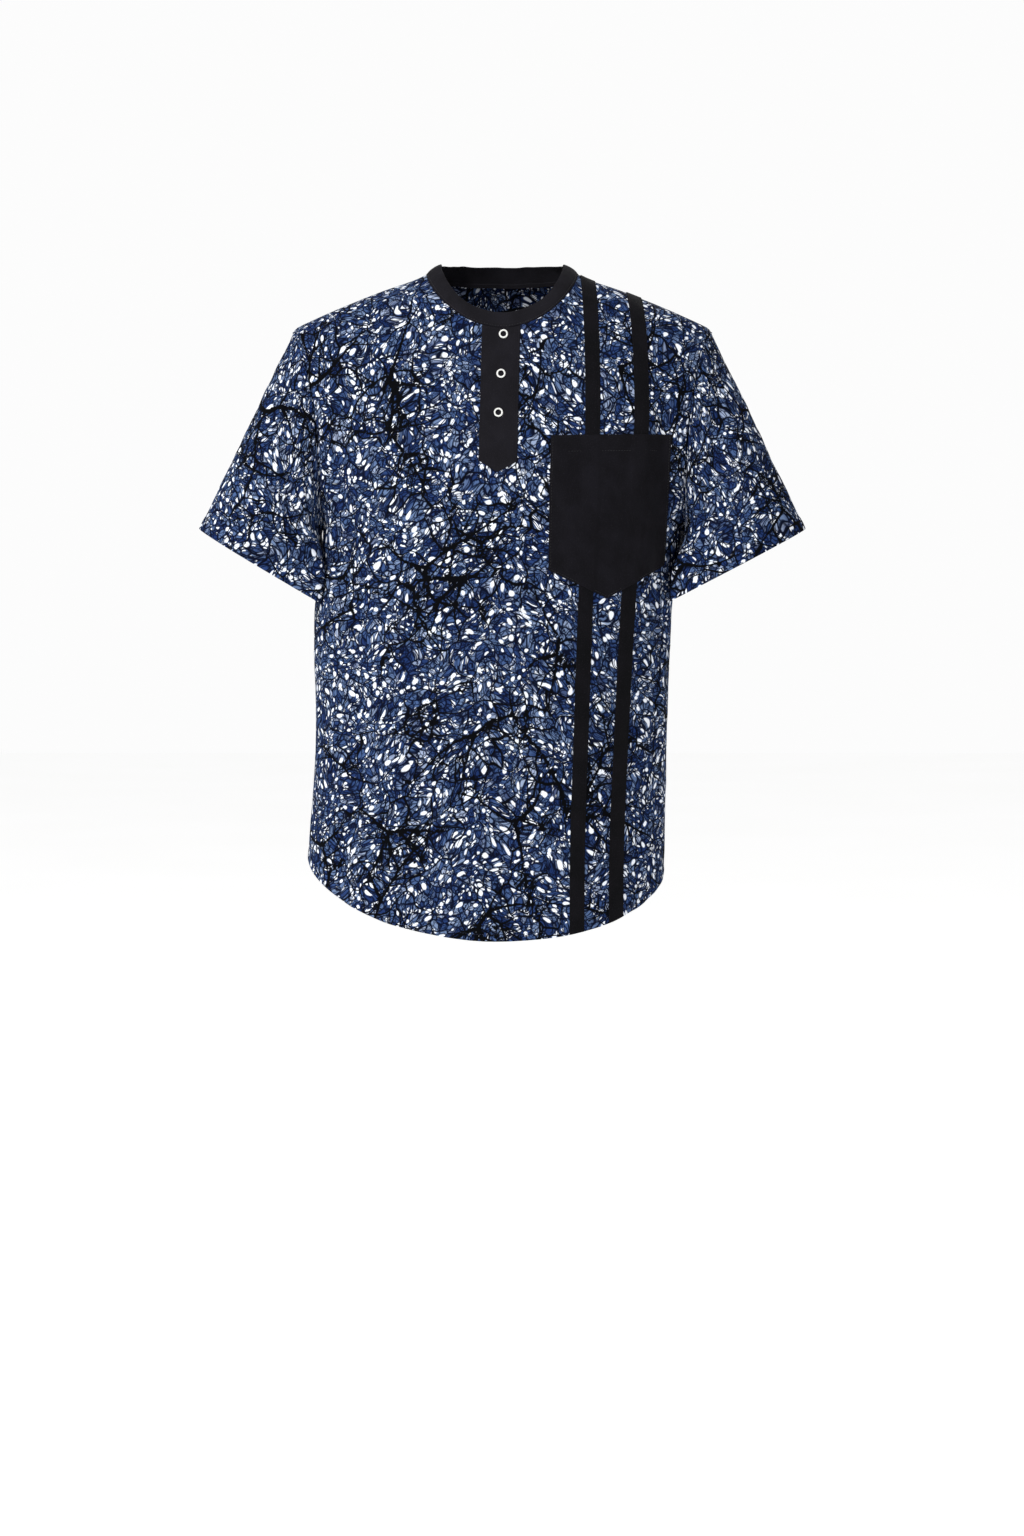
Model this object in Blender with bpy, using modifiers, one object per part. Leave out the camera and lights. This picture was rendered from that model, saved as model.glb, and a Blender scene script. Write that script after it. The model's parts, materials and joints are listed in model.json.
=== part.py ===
# A short-sleeved pullover shirt in printed cotton, worn form, hollow, with black trim.
# Metres, +Z up. The front faces -Y and the wearer's left is +X. The origin is at the
# middle of the neck, level with the points where the shoulder seams meet the neckband.
import math

import bpy
import numpy as np
from mathutils import Vector
from mathutils.bvhtree import BVHTree

# Cloth and seams
WALL = 0.0015
TRIM_WALL = 0.0010
SEAM_GAP = 0.0003
SEAM_SHIFT = 0.0002

# Trunk. Each row is one level section of the worn body of the shirt: its height, half
# its width, how far the front and the back stand off the middle, and how far its
# middle leans to +X. Above the underarm the half width runs on past the armhole.
SECTIONS = [
    dict(height=-0.770, half=0.2060, front=0.125, back=0.119, lean=-0.0240),
    dict(height=-0.670, half=0.2050, front=0.126, back=0.117, lean=-0.0190),
    dict(height=-0.530, half=0.2015, front=0.127, back=0.113, lean=-0.0130),
    dict(height=-0.380, half=0.2045, front=0.127, back=0.113, lean=-0.0105),
    dict(height=-0.290, half=0.2050, front=0.124, back=0.117, lean=0.0000),
    dict(height=-0.230, half=0.2205, front=0.120, back=0.119, lean=0.0000),
    dict(height=-0.170, half=0.2360, front=0.114, back=0.116, lean=0.0000),
    dict(height=-0.120, half=0.2510, front=0.107, back=0.109, lean=0.0000),
    dict(height=-0.060, half=0.2620, front=0.0955, back=0.094, lean=0.0000),
    dict(height=0.000, half=0.2620, front=0.084, back=0.076, lean=0.0000),
    dict(height=0.060, half=0.2620, front=0.072, back=0.062, lean=0.0000),
]
SQUARENESS = 2.3

# Shoulder ridge. Each row gives the ridge's height and the radius of the turn from
# front to back over it, at a distance from the middle. The rows inside the neckline
# only shape the cloth round the neck.
RIDGE_HALF = 0.262
RIDGE = [
    dict(across=0.0000, height=0.0550, turn=0.125),
    dict(across=0.0400, height=0.0360, turn=0.112),
    dict(across=0.0866, height=0.0010, turn=0.092),
    dict(across=0.1370, height=-0.0182, turn=0.072),
    dict(across=0.1850, height=-0.0375, turn=0.058),
    dict(across=0.2345, height=-0.0595, turn=0.048),
    dict(across=0.2620, height=-0.0740, turn=0.046),
]
SEAM_FORWARD = 0.012

# Armholes, neckline and hem
UNDERARM_Z = -0.290
TIP_X = 0.2345
TIP_Z = -0.060
ARMHOLE_CURVE = 3.0
NECK_HALF = 0.0866
NECK_FRONT_DROP = 0.0655
NECK_BACK_RISE = -0.0040
NECK_CURVE = 1.5
HEM_SIDE_Z = -0.6695
HEM_DROP = 0.0765
HEM_CURVE = 1.2
HEM_TILT = -0.0110

# Rows and columns of the panels' grids
SIDE_ROWS = 13
ARMHOLE_ROWS = 14
SHOULDER_COLUMNS = 8
NECK_COLUMNS = 14
ARMHOLE_SAMPLES = 240
ARMHOLE_STEPS = 30

# Largest folds: soft troughs in a panel, each along a line from its top to its bottom,
# with the half width and the depth of the trough. side is -1 on the front, 1 behind.
FOLDS = [
    dict(side=-1, top=(-0.186, -0.105), bottom=(-0.176, -0.370), half=0.017, depth=0.0070),
    dict(side=-1, top=(-0.158, -0.330), bottom=(-0.170, -0.560), half=0.024, depth=0.0045),
    dict(side=-1, top=(-0.070, -0.420), bottom=(-0.085, -0.760), half=0.030, depth=0.0040),
    dict(side=-1, top=(0.192, -0.110), bottom=(0.181, -0.390), half=0.015, depth=0.0065),
    dict(side=-1, top=(0.150, -0.430), bottom=(0.146, -0.700), half=0.026, depth=0.0045),
    dict(side=-1, top=(0.020, -0.480), bottom=(0.030, -0.760), half=0.028, depth=0.0035),
    dict(side=1, top=(-0.184, -0.120), bottom=(-0.168, -0.400), half=0.017, depth=0.0065),
    dict(side=1, top=(0.186, -0.110), bottom=(0.166, -0.420), half=0.016, depth=0.0070),
    dict(side=1, top=(-0.095, -0.280), bottom=(-0.105, -0.760), half=0.030, depth=0.0060),
    dict(side=1, top=(0.075, -0.330), bottom=(0.068, -0.760), half=0.028, depth=0.0055),
    dict(side=1, top=(-0.010, -0.420), bottom=(-0.018, -0.760), half=0.022, depth=0.0040),
]
FOLD_FADE = 0.22
FOLD_OVERRUN = 0.15
PLAIN_COLUMNS = 3

# Sleeves. The sleeve hangs straight from the armhole to a cuff. Below the underarm its
# underside lies along the trunk's side: angles are from the sleeve's top line, in degrees.
CUFF_OUTER = (0.3465, -0.2870)
CUFF_INNER_Z = -0.3640
CUFF_CLEARANCE = 0.0040
SLEEVE_GAP = 0.0006
SIDE_CLEARANCE = 0.0027
SIDE_EASE = 0.6
SIDE_EASE_DROP = 0.040
GUARD_RISE = 0.030
WRAP_START = 90
WRAP_SPAN = 45
WRAP_RISE = 0.010
WRAP_DROP = 0.030
SLEEVE_OUT = (0.975, -0.222)
CUFF_HALF_DEPTH = 0.0650
SLEEVE_RINGS = 11
SLEEVE_BULGE = 0.0050
SLEEVE_PLAIN = 0.2

# Sleeve folds: troughs that run round the sleeve and down it. at is the share of the
# way from the shoulder to the cuff at the sleeve's top line, around the angle from the
# top line towards the front in degrees, and slant how far the trough moves down the
# sleeve, in shares, for each 90 degrees.
SLEEVE_FOLDS = [
    dict(around=70, at=0.30, slant=0.34, half=0.085, depth=0.0055, spread=50),
    dict(around=110, at=0.55, slant=0.30, half=0.075, depth=0.0050, spread=45),
    dict(around=-80, at=0.35, slant=-0.30, half=0.085, depth=0.0055, spread=50),
    dict(around=-120, at=0.62, slant=-0.26, half=0.075, depth=0.0045, spread=45),
]

# Neckband. It leans in over the neck, and curls further in from its seam to its top.
BAND_GAP = 0.0006
BAND_HEIGHT = 0.0205
BAND_LEAN_SIDE = math.radians(56)
BAND_LEAN_FRONT = math.radians(29)
BAND_LEAN_BACK = math.radians(22)
BAND_CURL_SIDE = math.radians(20)
BAND_CURL_END = math.radians(8)
BAND_ROWS = 4

# Placket: its middle line, its half width, and how far its end points down
PLACKET_HALF = 0.0213
PLACKET_TOP = (-0.0010, -0.030)
PLACKET_END = (-0.0047, -0.2135)
PLACKET_POINT = 0.0125
OUTLINE_NEAR = -0.004
OUTLINE_FAR = -0.200

# Ring snaps on the placket, placed as seen from the front
SNAPS = [
    dict(name="snap_1", across=0.0015, height=-0.0730),
    dict(name="snap_2", across=-0.0012, height=-0.1170),
    dict(name="snap_3", across=-0.0040, height=-0.1600),
]
SNAP_OUTER = 0.0051
SNAP_INNER = 0.0032
SNAP_THICK = 0.0014
SNAP_ROUND = 0.0004
SNAP_SEGMENTS = 20

# Patch pocket, as its corners seen from the front
POCKET_OUTLINE = [
    (0.0540, -0.1850),
    (0.1895, -0.1825),
    (0.1865, -0.2550),
    (0.1830, -0.3285),
    (0.1165, -0.3650),
    (0.0512, -0.3340),
    (0.0520, -0.2600),
]

# Strips: the middle line of each as seen from the front, from the shoulder to the hem
STRIP_HALF = 0.0083
STRIPS = dict(
    strip_inner=[
        dict(height=-0.780, across=0.0832),
        dict(height=-0.640, across=0.0840),
        dict(height=-0.505, across=0.0880),
        dict(height=-0.367, across=0.0925),
        dict(height=-0.179, across=0.1000),
        dict(height=-0.078, across=0.0994),
        dict(height=0.020, across=0.0955),
    ],
    strip_outer=[
        dict(height=-0.780, across=0.1275),
        dict(height=-0.640, across=0.1282),
        dict(height=-0.505, across=0.1337),
        dict(height=-0.367, across=0.1407),
        dict(height=-0.179, across=0.1545),
        dict(height=-0.078, across=0.1528),
        dict(height=0.020, across=0.1448),
    ],
)
STRIP_STEPS = 14

PRINT_BLUE = (0.078, 0.098, 0.165, 1.0)
TRIM_BLACK = (0.011, 0.010, 0.013, 1.0)
SNAP_WHITE = (0.75, 0.75, 0.72, 1.0)


def ease(share):
    """A soft step from 0 to 1 as the share goes from 0 to 1."""
    share = min(max(share, 0.0), 1.0)
    return share * share * (3 - 2 * share)


def read_smooth(table, key, column, at):
    """Read a column of a table on a smooth curve through its rows."""
    place = [row[key] for row in table]
    value = [row[column] for row in table]
    at = min(max(at, place[0]), place[-1])
    last = len(place) - 2
    i = min(max(int(np.searchsorted(place, at)) - 1, 0), last)
    run = place[i + 1] - place[i]
    share = (at - place[i]) / run

    def slope(k):
        low = max(k - 1, 0)
        high = min(k + 1, len(place) - 1)
        return (value[high] - value[low]) / (place[high] - place[low])

    start = slope(i) * run
    end = slope(i + 1) * run
    square = share * share
    cube = square * share
    return (value[i] * (2 * cube - 3 * square + 1) + start * (cube - 2 * square + share)
            + value[i + 1] * (3 * square - 2 * cube) + end * (cube - square))


def section(column, height):
    return read_smooth(SECTIONS, "height", column, height)


def ridge(column, q):
    return read_smooth(RIDGE, "across", column, RIDGE_HALF * abs(math.sin(q * math.pi / 2)))


def way_down(q, height):
    """How far down the cloth from the ridge a height lies."""
    turn = ridge("turn", q)
    drop = ridge("height", q) - height
    if drop < turn:
        return turn * math.acos(1 - max(drop, 0.0) / turn)
    return turn * math.pi / 2 + drop - turn


def trunk_point(side, q, way):
    """The point of the trunk at q across, -1 to 1, and a way down from the ridge."""
    turn = ridge("turn", q)
    if way < turn * math.pi / 2:
        drop = turn * (1 - math.cos(way / turn))
        reach = math.sin(way / turn)
    else:
        drop = turn + way - turn * math.pi / 2
        reach = 1.0
    z = ridge("height", q) - drop
    sine = math.sin(q * math.pi / 2)
    fullness = max(1 - abs(sine) ** SQUARENESS, 0.0) ** (1 / SQUARENESS)
    depth = section("front" if side < 0 else "back", z)
    x = section("lean", z) + section("half", z) * sine
    return np.array([x, side * (depth * fullness * reach + SEAM_SHIFT), z])


def seam_way(side, q):
    """The way down at which the shoulder seam lies, in front of the ridge."""
    sine = math.sin(q * math.pi / 2)
    fullness = max(1 - abs(sine) ** SQUARENESS, 0.0) ** (1 / SQUARENESS)
    depth = section("front" if side < 0 else "back", ridge("height", q)) * fullness
    return -side * ridge("turn", q) * math.asin(SEAM_FORWARD / depth)


def armhole_q(way):
    """Where across the trunk the armhole lies, at a way down from the ridge."""
    under_x = section("half", UNDERARM_Z)
    q = 0.8
    for _ in range(ARMHOLE_STEPS):
        z = trunk_point(1, q, way)[2]
        rise = max(z - UNDERARM_Z, 0.0) / (TIP_Z - UNDERARM_Z)
        x = under_x + (TIP_X - under_x) * rise ** ARMHOLE_CURVE
        q = math.asin(min(x / section("half", z), 1.0)) * 2 / math.pi
    return q


def spread_evenly(samples, points, count):
    """Pick samples at even distances along the points they give."""
    steps = np.linalg.norm(np.diff(points, axis=0), axis=1)
    run = np.concatenate([[0.0], np.cumsum(steps)])
    marks = np.linspace(0.0, run[-1], count + 1)
    return np.array([[np.interp(m, run, samples[:, k]) for k in (0, 1)] for m in marks])


def side_edge(side):
    """The side seam and then the armhole, from the hem up, as (q, way) pairs."""
    hem = way_down(1.0, HEM_SIDE_Z)
    under = way_down(1.0, UNDERARM_Z)
    seam = [(1.0, hem + (under - hem) * i / SIDE_ROWS) for i in range(SIDE_ROWS)]
    tip_q = armhole_q(0.0)
    top = seam_way(side, tip_q)
    samples = []
    for i in range(ARMHOLE_SAMPLES + 1):
        share = (i / ARMHOLE_SAMPLES) ** 2
        way = under + (top - under) * share
        samples.append((armhole_q(abs(way)) if i else 1.0, way))
    samples = np.array(samples)
    points = np.array([trunk_point(side, q, way) for q, way in samples])
    return np.vstack([seam, spread_evenly(samples, points, ARMHOLE_ROWS)])


def top_edge(side, tip_q):
    """Shoulder, neckline and shoulder, from -X to +X, as (q, way) pairs."""
    neck_q = math.asin(NECK_HALF / RIDGE_HALF) * 2 / math.pi
    shoulder = []
    for i in range(SHOULDER_COLUMNS + 1):
        q = tip_q + (neck_q - tip_q) * i / SHOULDER_COLUMNS
        shoulder.append((q, seam_way(side, q)))
    point_z = trunk_point(side, neck_q, shoulder[-1][1])[2]
    change = -NECK_FRONT_DROP if side < 0 else NECK_BACK_RISE
    neck = []
    for i in range(1, NECK_COLUMNS):
        angle = math.pi * i / NECK_COLUMNS
        across = NECK_HALF * math.cos(angle)
        q = math.asin(across / RIDGE_HALF) * 2 / math.pi
        z = point_z + change * math.sin(angle) ** NECK_CURVE
        way = way_down(q, z)
        neck.append((q, way))
    left = [(-q, way) for q, way in shoulder]
    right = [(q, way) for q, way in reversed(shoulder)]
    return np.array(left + neck[::-1] + right)


def hem_edge(count):
    rows = []
    for i in range(count + 1):
        q = -1 + 2 * i / count
        drop = HEM_DROP * math.cos(q * math.pi / 2) ** HEM_CURVE if abs(q) < 1 else 0.0
        z = HEM_SIDE_Z - drop + HEM_TILT * math.sin(q * math.pi / 2)
        rows.append((q, way_down(q, z)))
    return np.array(rows)


def fold_depth(side, x, z):
    total = 0.0
    for fold in FOLDS:
        if fold["side"] != side:
            continue
        top = np.array(fold["top"])
        line = np.array(fold["bottom"]) - top
        length = np.linalg.norm(line)
        offset = np.array([x, z]) - top
        along = float(offset @ line) / length ** 2
        across = float(offset[0] * line[1] - offset[1] * line[0]) / length
        start = ease(along / FOLD_FADE)
        end = ease((1 + FOLD_OVERRUN - along) / FOLD_FADE)
        total += fold["depth"] * start * end * math.exp(-(across / fold["half"]) ** 2)
    return total


def grid_normals(points, turn):
    """Unit normals of a grid of points; turn is 1 or -1, whichever points out."""
    across = np.gradient(points, axis=1)
    along = np.gradient(points, axis=0)
    normals = np.cross(across, along) * turn
    return normals / np.linalg.norm(normals, axis=2, keepdims=True)


def panel_grid(side):
    """Points and normals of the front (side -1) or the back (side 1)."""
    edge = side_edge(side)
    top = top_edge(side, edge[-1][0])
    top[0] = (-edge[-1][0], edge[-1][1])
    top[-1] = edge[-1]
    columns = len(top) - 1
    rows = len(edge) - 1
    hem = hem_edge(columns)
    edge[0] = hem[-1]
    left = edge * np.array([-1.0, 1.0])
    left[0] = hem[0]
    points = np.zeros((rows + 1, columns + 1, 3))
    for r in range(rows + 1):
        t = r / rows
        for c in range(columns + 1):
            s = c / columns
            mix = ((1 - t) * hem[c] + t * top[c] + (1 - s) * left[r] + s * edge[r]
                   - (1 - t) * ((1 - s) * hem[0] + s * hem[-1])
                   - t * ((1 - s) * top[0] + s * top[-1]))
            points[r, c] = trunk_point(side, mix[0], mix[1])
    normals = grid_normals(points, -side)
    for r in range(rows + 1):
        for c in range(columns + 1):
            guard = min(c, columns - c, PLAIN_COLUMNS) / PLAIN_COLUMNS
            x, _, z = points[r, c]
            points[r, c] -= normals[r, c] * fold_depth(side, x, z) * guard
    normals = grid_normals(points, -side)
    shoulder = list(range(SHOULDER_COLUMNS + 1)) + list(range(columns - SHOULDER_COLUMNS, columns + 1))
    normals[rows, shoulder, 1] = 0.0
    normals[:SIDE_ROWS + 1, 0, 1] = 0.0
    normals[:SIDE_ROWS + 1, columns, 1] = 0.0
    normals /= np.linalg.norm(normals, axis=2, keepdims=True)
    return points, normals


def wall_faces(rows, columns, closed):
    """Faces of a wall between an outer and an inner grid, ringed when closed."""
    wide = columns if closed else columns + 1
    inner = (rows + 1) * wide

    def at(r, c):
        return r * wide + c % wide

    faces = []
    for r in range(rows):
        for c in range(columns):
            low, next_low = at(r, c), at(r, c + 1)
            high, next_high = at(r + 1, c), at(r + 1, c + 1)
            if c < columns / 2:
                halves = [(low, next_low, next_high), (low, next_high, high)]
            else:
                halves = [(low, next_low, high), (next_low, next_high, high)]
            faces += halves
            faces += [tuple(inner + k for k in reversed(half)) for half in halves]
    for c in range(columns):
        low = (at(0, c + 1), at(0, c), inner + at(0, c), inner + at(0, c + 1))
        high = (at(rows, c), at(rows, c + 1), inner + at(rows, c + 1), inner + at(rows, c))
        faces += [low, high]
    if not closed:
        for r in range(rows):
            first = (at(r, 0), at(r + 1, 0), inner + at(r + 1, 0), inner + at(r, 0))
            final = (at(r + 1, columns), at(r, columns), inner + at(r, columns),
                     inner + at(r + 1, columns))
            faces += [first, final]
    return faces


def wall_object(name, outer, inner, closed, flip, finish, home):
    """An object whose wall lies between two grids of points."""
    rows = outer.shape[0] - 1
    columns = outer.shape[1] if closed else outer.shape[1] - 1
    faces = wall_faces(rows, columns, closed)
    if flip:
        faces = [tuple(reversed(face)) for face in faces]
    points = np.vstack([outer.reshape(-1, 3), inner.reshape(-1, 3)])
    mesh = bpy.data.meshes.new(name)
    mesh.from_pydata([tuple(p) for p in points], [], faces)
    mesh.materials.append(finish)
    mesh.shade_smooth()
    mesh.set_sharp_from_angle(angle=math.radians(50))
    item = bpy.data.objects.new(name, mesh)
    home.objects.link(item)
    return item


def make_finish(name, colour, roughness):
    finish = bpy.data.materials.new(name)
    finish.use_nodes = True
    shader = finish.node_tree.nodes["Principled BSDF"]
    shader.inputs["Base Color"].default_value = colour
    shader.inputs["Roughness"].default_value = roughness
    shader.inputs["Metallic"].default_value = 0.0
    return finish


def armhole_loop(front, back, column):
    """The armhole's points, from the shoulder down the front and up the back."""
    down = front[:SIDE_ROWS - 1:-1, column]
    up = back[SIDE_ROWS:, column]
    tip = (down[0] + up[-1]) / 2
    under = (down[-1] + up[0]) / 2
    return np.array([tip] + list(down[1:-1]) + [under] + list(up[1:-1]))


def sleeve_fold(around, t):
    total = 0.0
    for fold in SLEEVE_FOLDS:
        away = (around - fold["around"] + 180) % 360 - 180
        level = t - fold["at"] - fold["slant"] * away / 90
        total += fold["depth"] * math.exp(-(level / fold["half"]) ** 2 - (away / fold["spread"]) ** 2)
    return total


def make_sleeve(name, hand, loop, finish, home):
    """A sleeve from its armhole loop; hand is -1 at -X and 1 at +X."""
    count = len(loop)
    half = count // 2
    out = np.array([hand * SLEEVE_OUT[0], 0.0, SLEEVE_OUT[1]])
    inner_x = abs(section("lean", CUFF_INNER_Z) * hand + section("half", CUFF_INNER_Z))
    top = np.array([hand * CUFF_OUTER[0], 0.0, CUFF_OUTER[1]])
    low = np.array([hand * (inner_x + CUFF_CLEARANCE), 0.0, CUFF_INNER_Z])
    middle = (top + low) / 2
    cuff_slope = (top[2] - low[2]) / abs(top[0] - low[0])
    steps = np.linalg.norm(np.diff(np.vstack([loop, loop[:1]]), axis=0), axis=1)
    run = np.concatenate([[0.0], np.cumsum(steps)])
    rings = np.zeros((SLEEVE_RINGS + 1, count, 3))
    turns = np.zeros(count)
    for j in range(count):
        if j <= half:
            turns[j] = math.pi * run[j] / run[half]
        else:
            turns[j] = math.pi + math.pi * (run[j] - run[half]) / (run[-1] - run[half])
        end = middle + (top - middle) * math.cos(turns[j])
        end[1] -= CUFF_HALF_DEPTH * math.sin(turns[j])
        start = loop[j] + out * SLEEVE_GAP
        for r in range(SLEEVE_RINGS + 1):
            t = r / SLEEVE_RINGS
            swell = SLEEVE_BULGE * math.sin(math.pi * t)
            point = start + (end - start) * t
            point[1] -= swell * math.sin(turns[j])
            rings[r, j] = point
    normals = ring_normals(rings, hand)
    for j in range(count):
        around = math.degrees(turns[j])
        around = around - 360 if around > 180 else around
        wrap = ease((abs(around) - WRAP_START) / WRAP_SPAN)
        for r in range(1, SLEEVE_RINGS + 1):
            t = r / SLEEVE_RINGS
            guard = min(t / SLEEVE_PLAIN, 1.0)
            rings[r, j] -= normals[r, j] * sleeve_fold(around, t) * guard
            z = rings[r, j, 2]
            reach = trunk_side(hand, rings[r, j]) + SIDE_CLEARANCE
            out_x = rings[r, j, 0] * hand
            move = (reach - out_x) * wrap * ease((UNDERARM_Z + WRAP_RISE - z) / WRAP_DROP)
            if z < UNDERARM_Z + GUARD_RISE:
                move = max(move, reach - out_x)
            rings[r, j, 0] = hand * (out_x + move)
            rings[r, j, 2] += min(move, 0.0) * cuff_slope * t
            if z < UNDERARM_Z + GUARD_RISE:
                reach = trunk_side(hand, rings[r, j]) + SIDE_CLEARANCE
                rings[r, j, 0] = hand * max(rings[r, j, 0] * hand, reach)
    normals = ring_normals(rings, hand)
    for j in range(count):
        lean = float(normals[0, j] @ out)
        if lean > 0:
            normals[0, j] -= out * lean
    axis = low - top
    axis = np.array([-axis[2], 0.0, axis[0]]) / np.linalg.norm(axis)
    normals[-1] -= np.outer(normals[-1] @ axis, axis)
    normals /= np.linalg.norm(normals, axis=2, keepdims=True)
    inner = rings - normals * WALL
    return wall_object(name, rings, inner, True, hand > 0, finish, home)


def trunk_side(hand, point):
    """How far out the trunk's side lies, level with a point beside it."""
    _, y, z = point
    depth = section("front" if y < 0 else "back", z)
    spread = SIDE_EASE + (1 - SIDE_EASE) * ease((UNDERARM_Z - z) / SIDE_EASE_DROP)
    near = spread * abs(y) / depth
    share = max(1 - near ** SQUARENESS, 0.0) ** (1 / SQUARENESS)
    return section("lean", z) * hand + section("half", min(z, UNDERARM_Z)) * share


def ring_normals(rings, hand):
    around = (np.roll(rings, -1, axis=1) - np.roll(rings, 1, axis=1)) / 2
    along = np.gradient(rings, axis=0)
    normals = np.cross(around, along) * -hand
    return normals / np.linalg.norm(normals, axis=2, keepdims=True)


def neck_loops(front, back):
    """Outer points round the neckline, front first from -X to +X, then the back."""
    first = SHOULDER_COLUMNS
    last = SHOULDER_COLUMNS + NECK_COLUMNS
    fore = front[-1, first:last + 1]
    aft = back[-1, first:last + 1][::-1]
    start = (fore[0] + aft[-1]) / 2
    turn = (fore[-1] + aft[0]) / 2
    return np.array([start] + list(fore[1:-1]) + [turn] + list(aft[1:-1]))


def make_neckband(outer_rim, inner_rim, finish, home):
    count = len(outer_rim)
    around = np.roll(outer_rim, -1, axis=0) - np.roll(outer_rim, 1, axis=0)
    outer = np.zeros((BAND_ROWS + 1, count, 3))
    inner = np.zeros_like(outer)
    for j in range(count):
        plan = np.array([-around[j][1], around[j][0], 0.0])
        inward = plan / np.linalg.norm(plan)
        facing = inward[1] ** 2
        end = BAND_LEAN_FRONT if inward[1] > 0 else BAND_LEAN_BACK
        lean = BAND_LEAN_SIDE + (end - BAND_LEAN_SIDE) * facing
        curl = BAND_CURL_SIDE + (BAND_CURL_END - BAND_CURL_SIDE) * facing
        place = np.zeros(3)
        for r in range(BAND_ROWS + 1):
            slope = lean + curl * (2 * r / BAND_ROWS - 1)
            rise = np.array([0.0, 0.0, math.cos(slope)]) + inward * math.sin(slope)
            through = np.array([0.0, 0.0, -math.sin(slope)]) + inward * math.cos(slope)
            if r == 0:
                place += rise * BAND_GAP
                outer[r, j] = outer_rim[j] + place
                inner[r, j] = inner_rim[j] + place
            else:
                place += (rise + last_rise) / 2 * BAND_HEIGHT / BAND_ROWS
                outer[r, j] = outer_rim[j] + place
                inner[r, j] = outer[r, j] + through * WALL
            last_rise = rise
    return wall_object("neckband", outer, inner, True, False, finish, home)


def make_trim(name, points, normals, lift, thick, outline, finish, home, cutters):
    """A piece lying on the front: the front's own points moved out, cut to an outline."""
    low = points + normals * lift
    high = points + normals * (lift + thick)
    item = wall_object(name, high, low, False, False, finish, home)
    mesh = bpy.data.meshes.new(name + "_outline")
    count = len(outline)
    spin = sum(outline[i - 1][0] * outline[i][1] - outline[i][0] * outline[i - 1][1]
               for i in range(count))
    if spin < 0:
        outline = outline[::-1]
    corners = [(x, y, z) for y in (OUTLINE_FAR, OUTLINE_NEAR) for x, z in outline]
    faces = [tuple(range(count)), tuple(range(2 * count - 1, count - 1, -1))]
    for i in range(count):
        k = (i + 1) % count
        faces.append((k, i, count + i, count + k))
    mesh.from_pydata(corners, [], faces)
    cutter = bpy.data.objects.new(name + "_outline", mesh)
    cutter.hide_render = True
    cutter.display_type = "WIRE"
    cutters.objects.link(cutter)
    cut = item.modifiers.new("outline", "BOOLEAN")
    cut.operation = "INTERSECT"
    cut.object = cutter
    return item


def placket_outline():
    top = np.array(PLACKET_TOP)
    end = np.array(PLACKET_END)
    line = (end - top) / np.linalg.norm(end - top)
    across = np.array([-line[1], line[0]]) * PLACKET_HALF
    return [tuple(top - across), tuple(end - across), tuple(end + line * PLACKET_POINT),
            tuple(end + across), tuple(top + across)]


def strip_outline(table):
    low = table[0]["height"]
    high = table[-1]["height"]
    left = []
    right = []
    for i in range(STRIP_STEPS + 1):
        z = low + (high - low) * i / STRIP_STEPS
        x = read_smooth(table, "height", "across", z)
        left.append((x - STRIP_HALF, z))
        right.append((x + STRIP_HALF, z))
    return left[::-1] + right


def make_snap(name, tree, x, z, lift, finish, home):
    """A flat ring with rounded edges, lying on the placket."""
    spot, facing, _, _ = tree.ray_cast(Vector((x, -0.3, z)), Vector((0.0, 1.0, 0.0)))
    mesh = bpy.data.meshes.new(name)
    profile = [
        (SNAP_INNER, 0.0),
        (SNAP_OUTER, 0.0),
        (SNAP_OUTER, SNAP_THICK - SNAP_ROUND),
        (SNAP_OUTER - SNAP_ROUND, SNAP_THICK),
        (SNAP_INNER + SNAP_ROUND, SNAP_THICK),
        (SNAP_INNER, SNAP_THICK - SNAP_ROUND),
    ]
    edges = [((i + 1) % len(profile), i) for i in range(len(profile))]
    mesh.from_pydata([(r, 0.0, h) for r, h in profile], edges, [])
    mesh.materials.append(finish)
    item = bpy.data.objects.new(name, mesh)
    home.objects.link(item)
    turn = item.modifiers.new("turn", "SCREW")
    turn.axis = "Z"
    turn.steps = SNAP_SEGMENTS
    turn.render_steps = SNAP_SEGMENTS
    turn.use_merge_vertices = True
    turn.merge_threshold = 0.00001
    item.rotation_euler = facing.to_track_quat("Z", "Y").to_euler()
    item.location = spot + facing * lift
    return item


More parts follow.
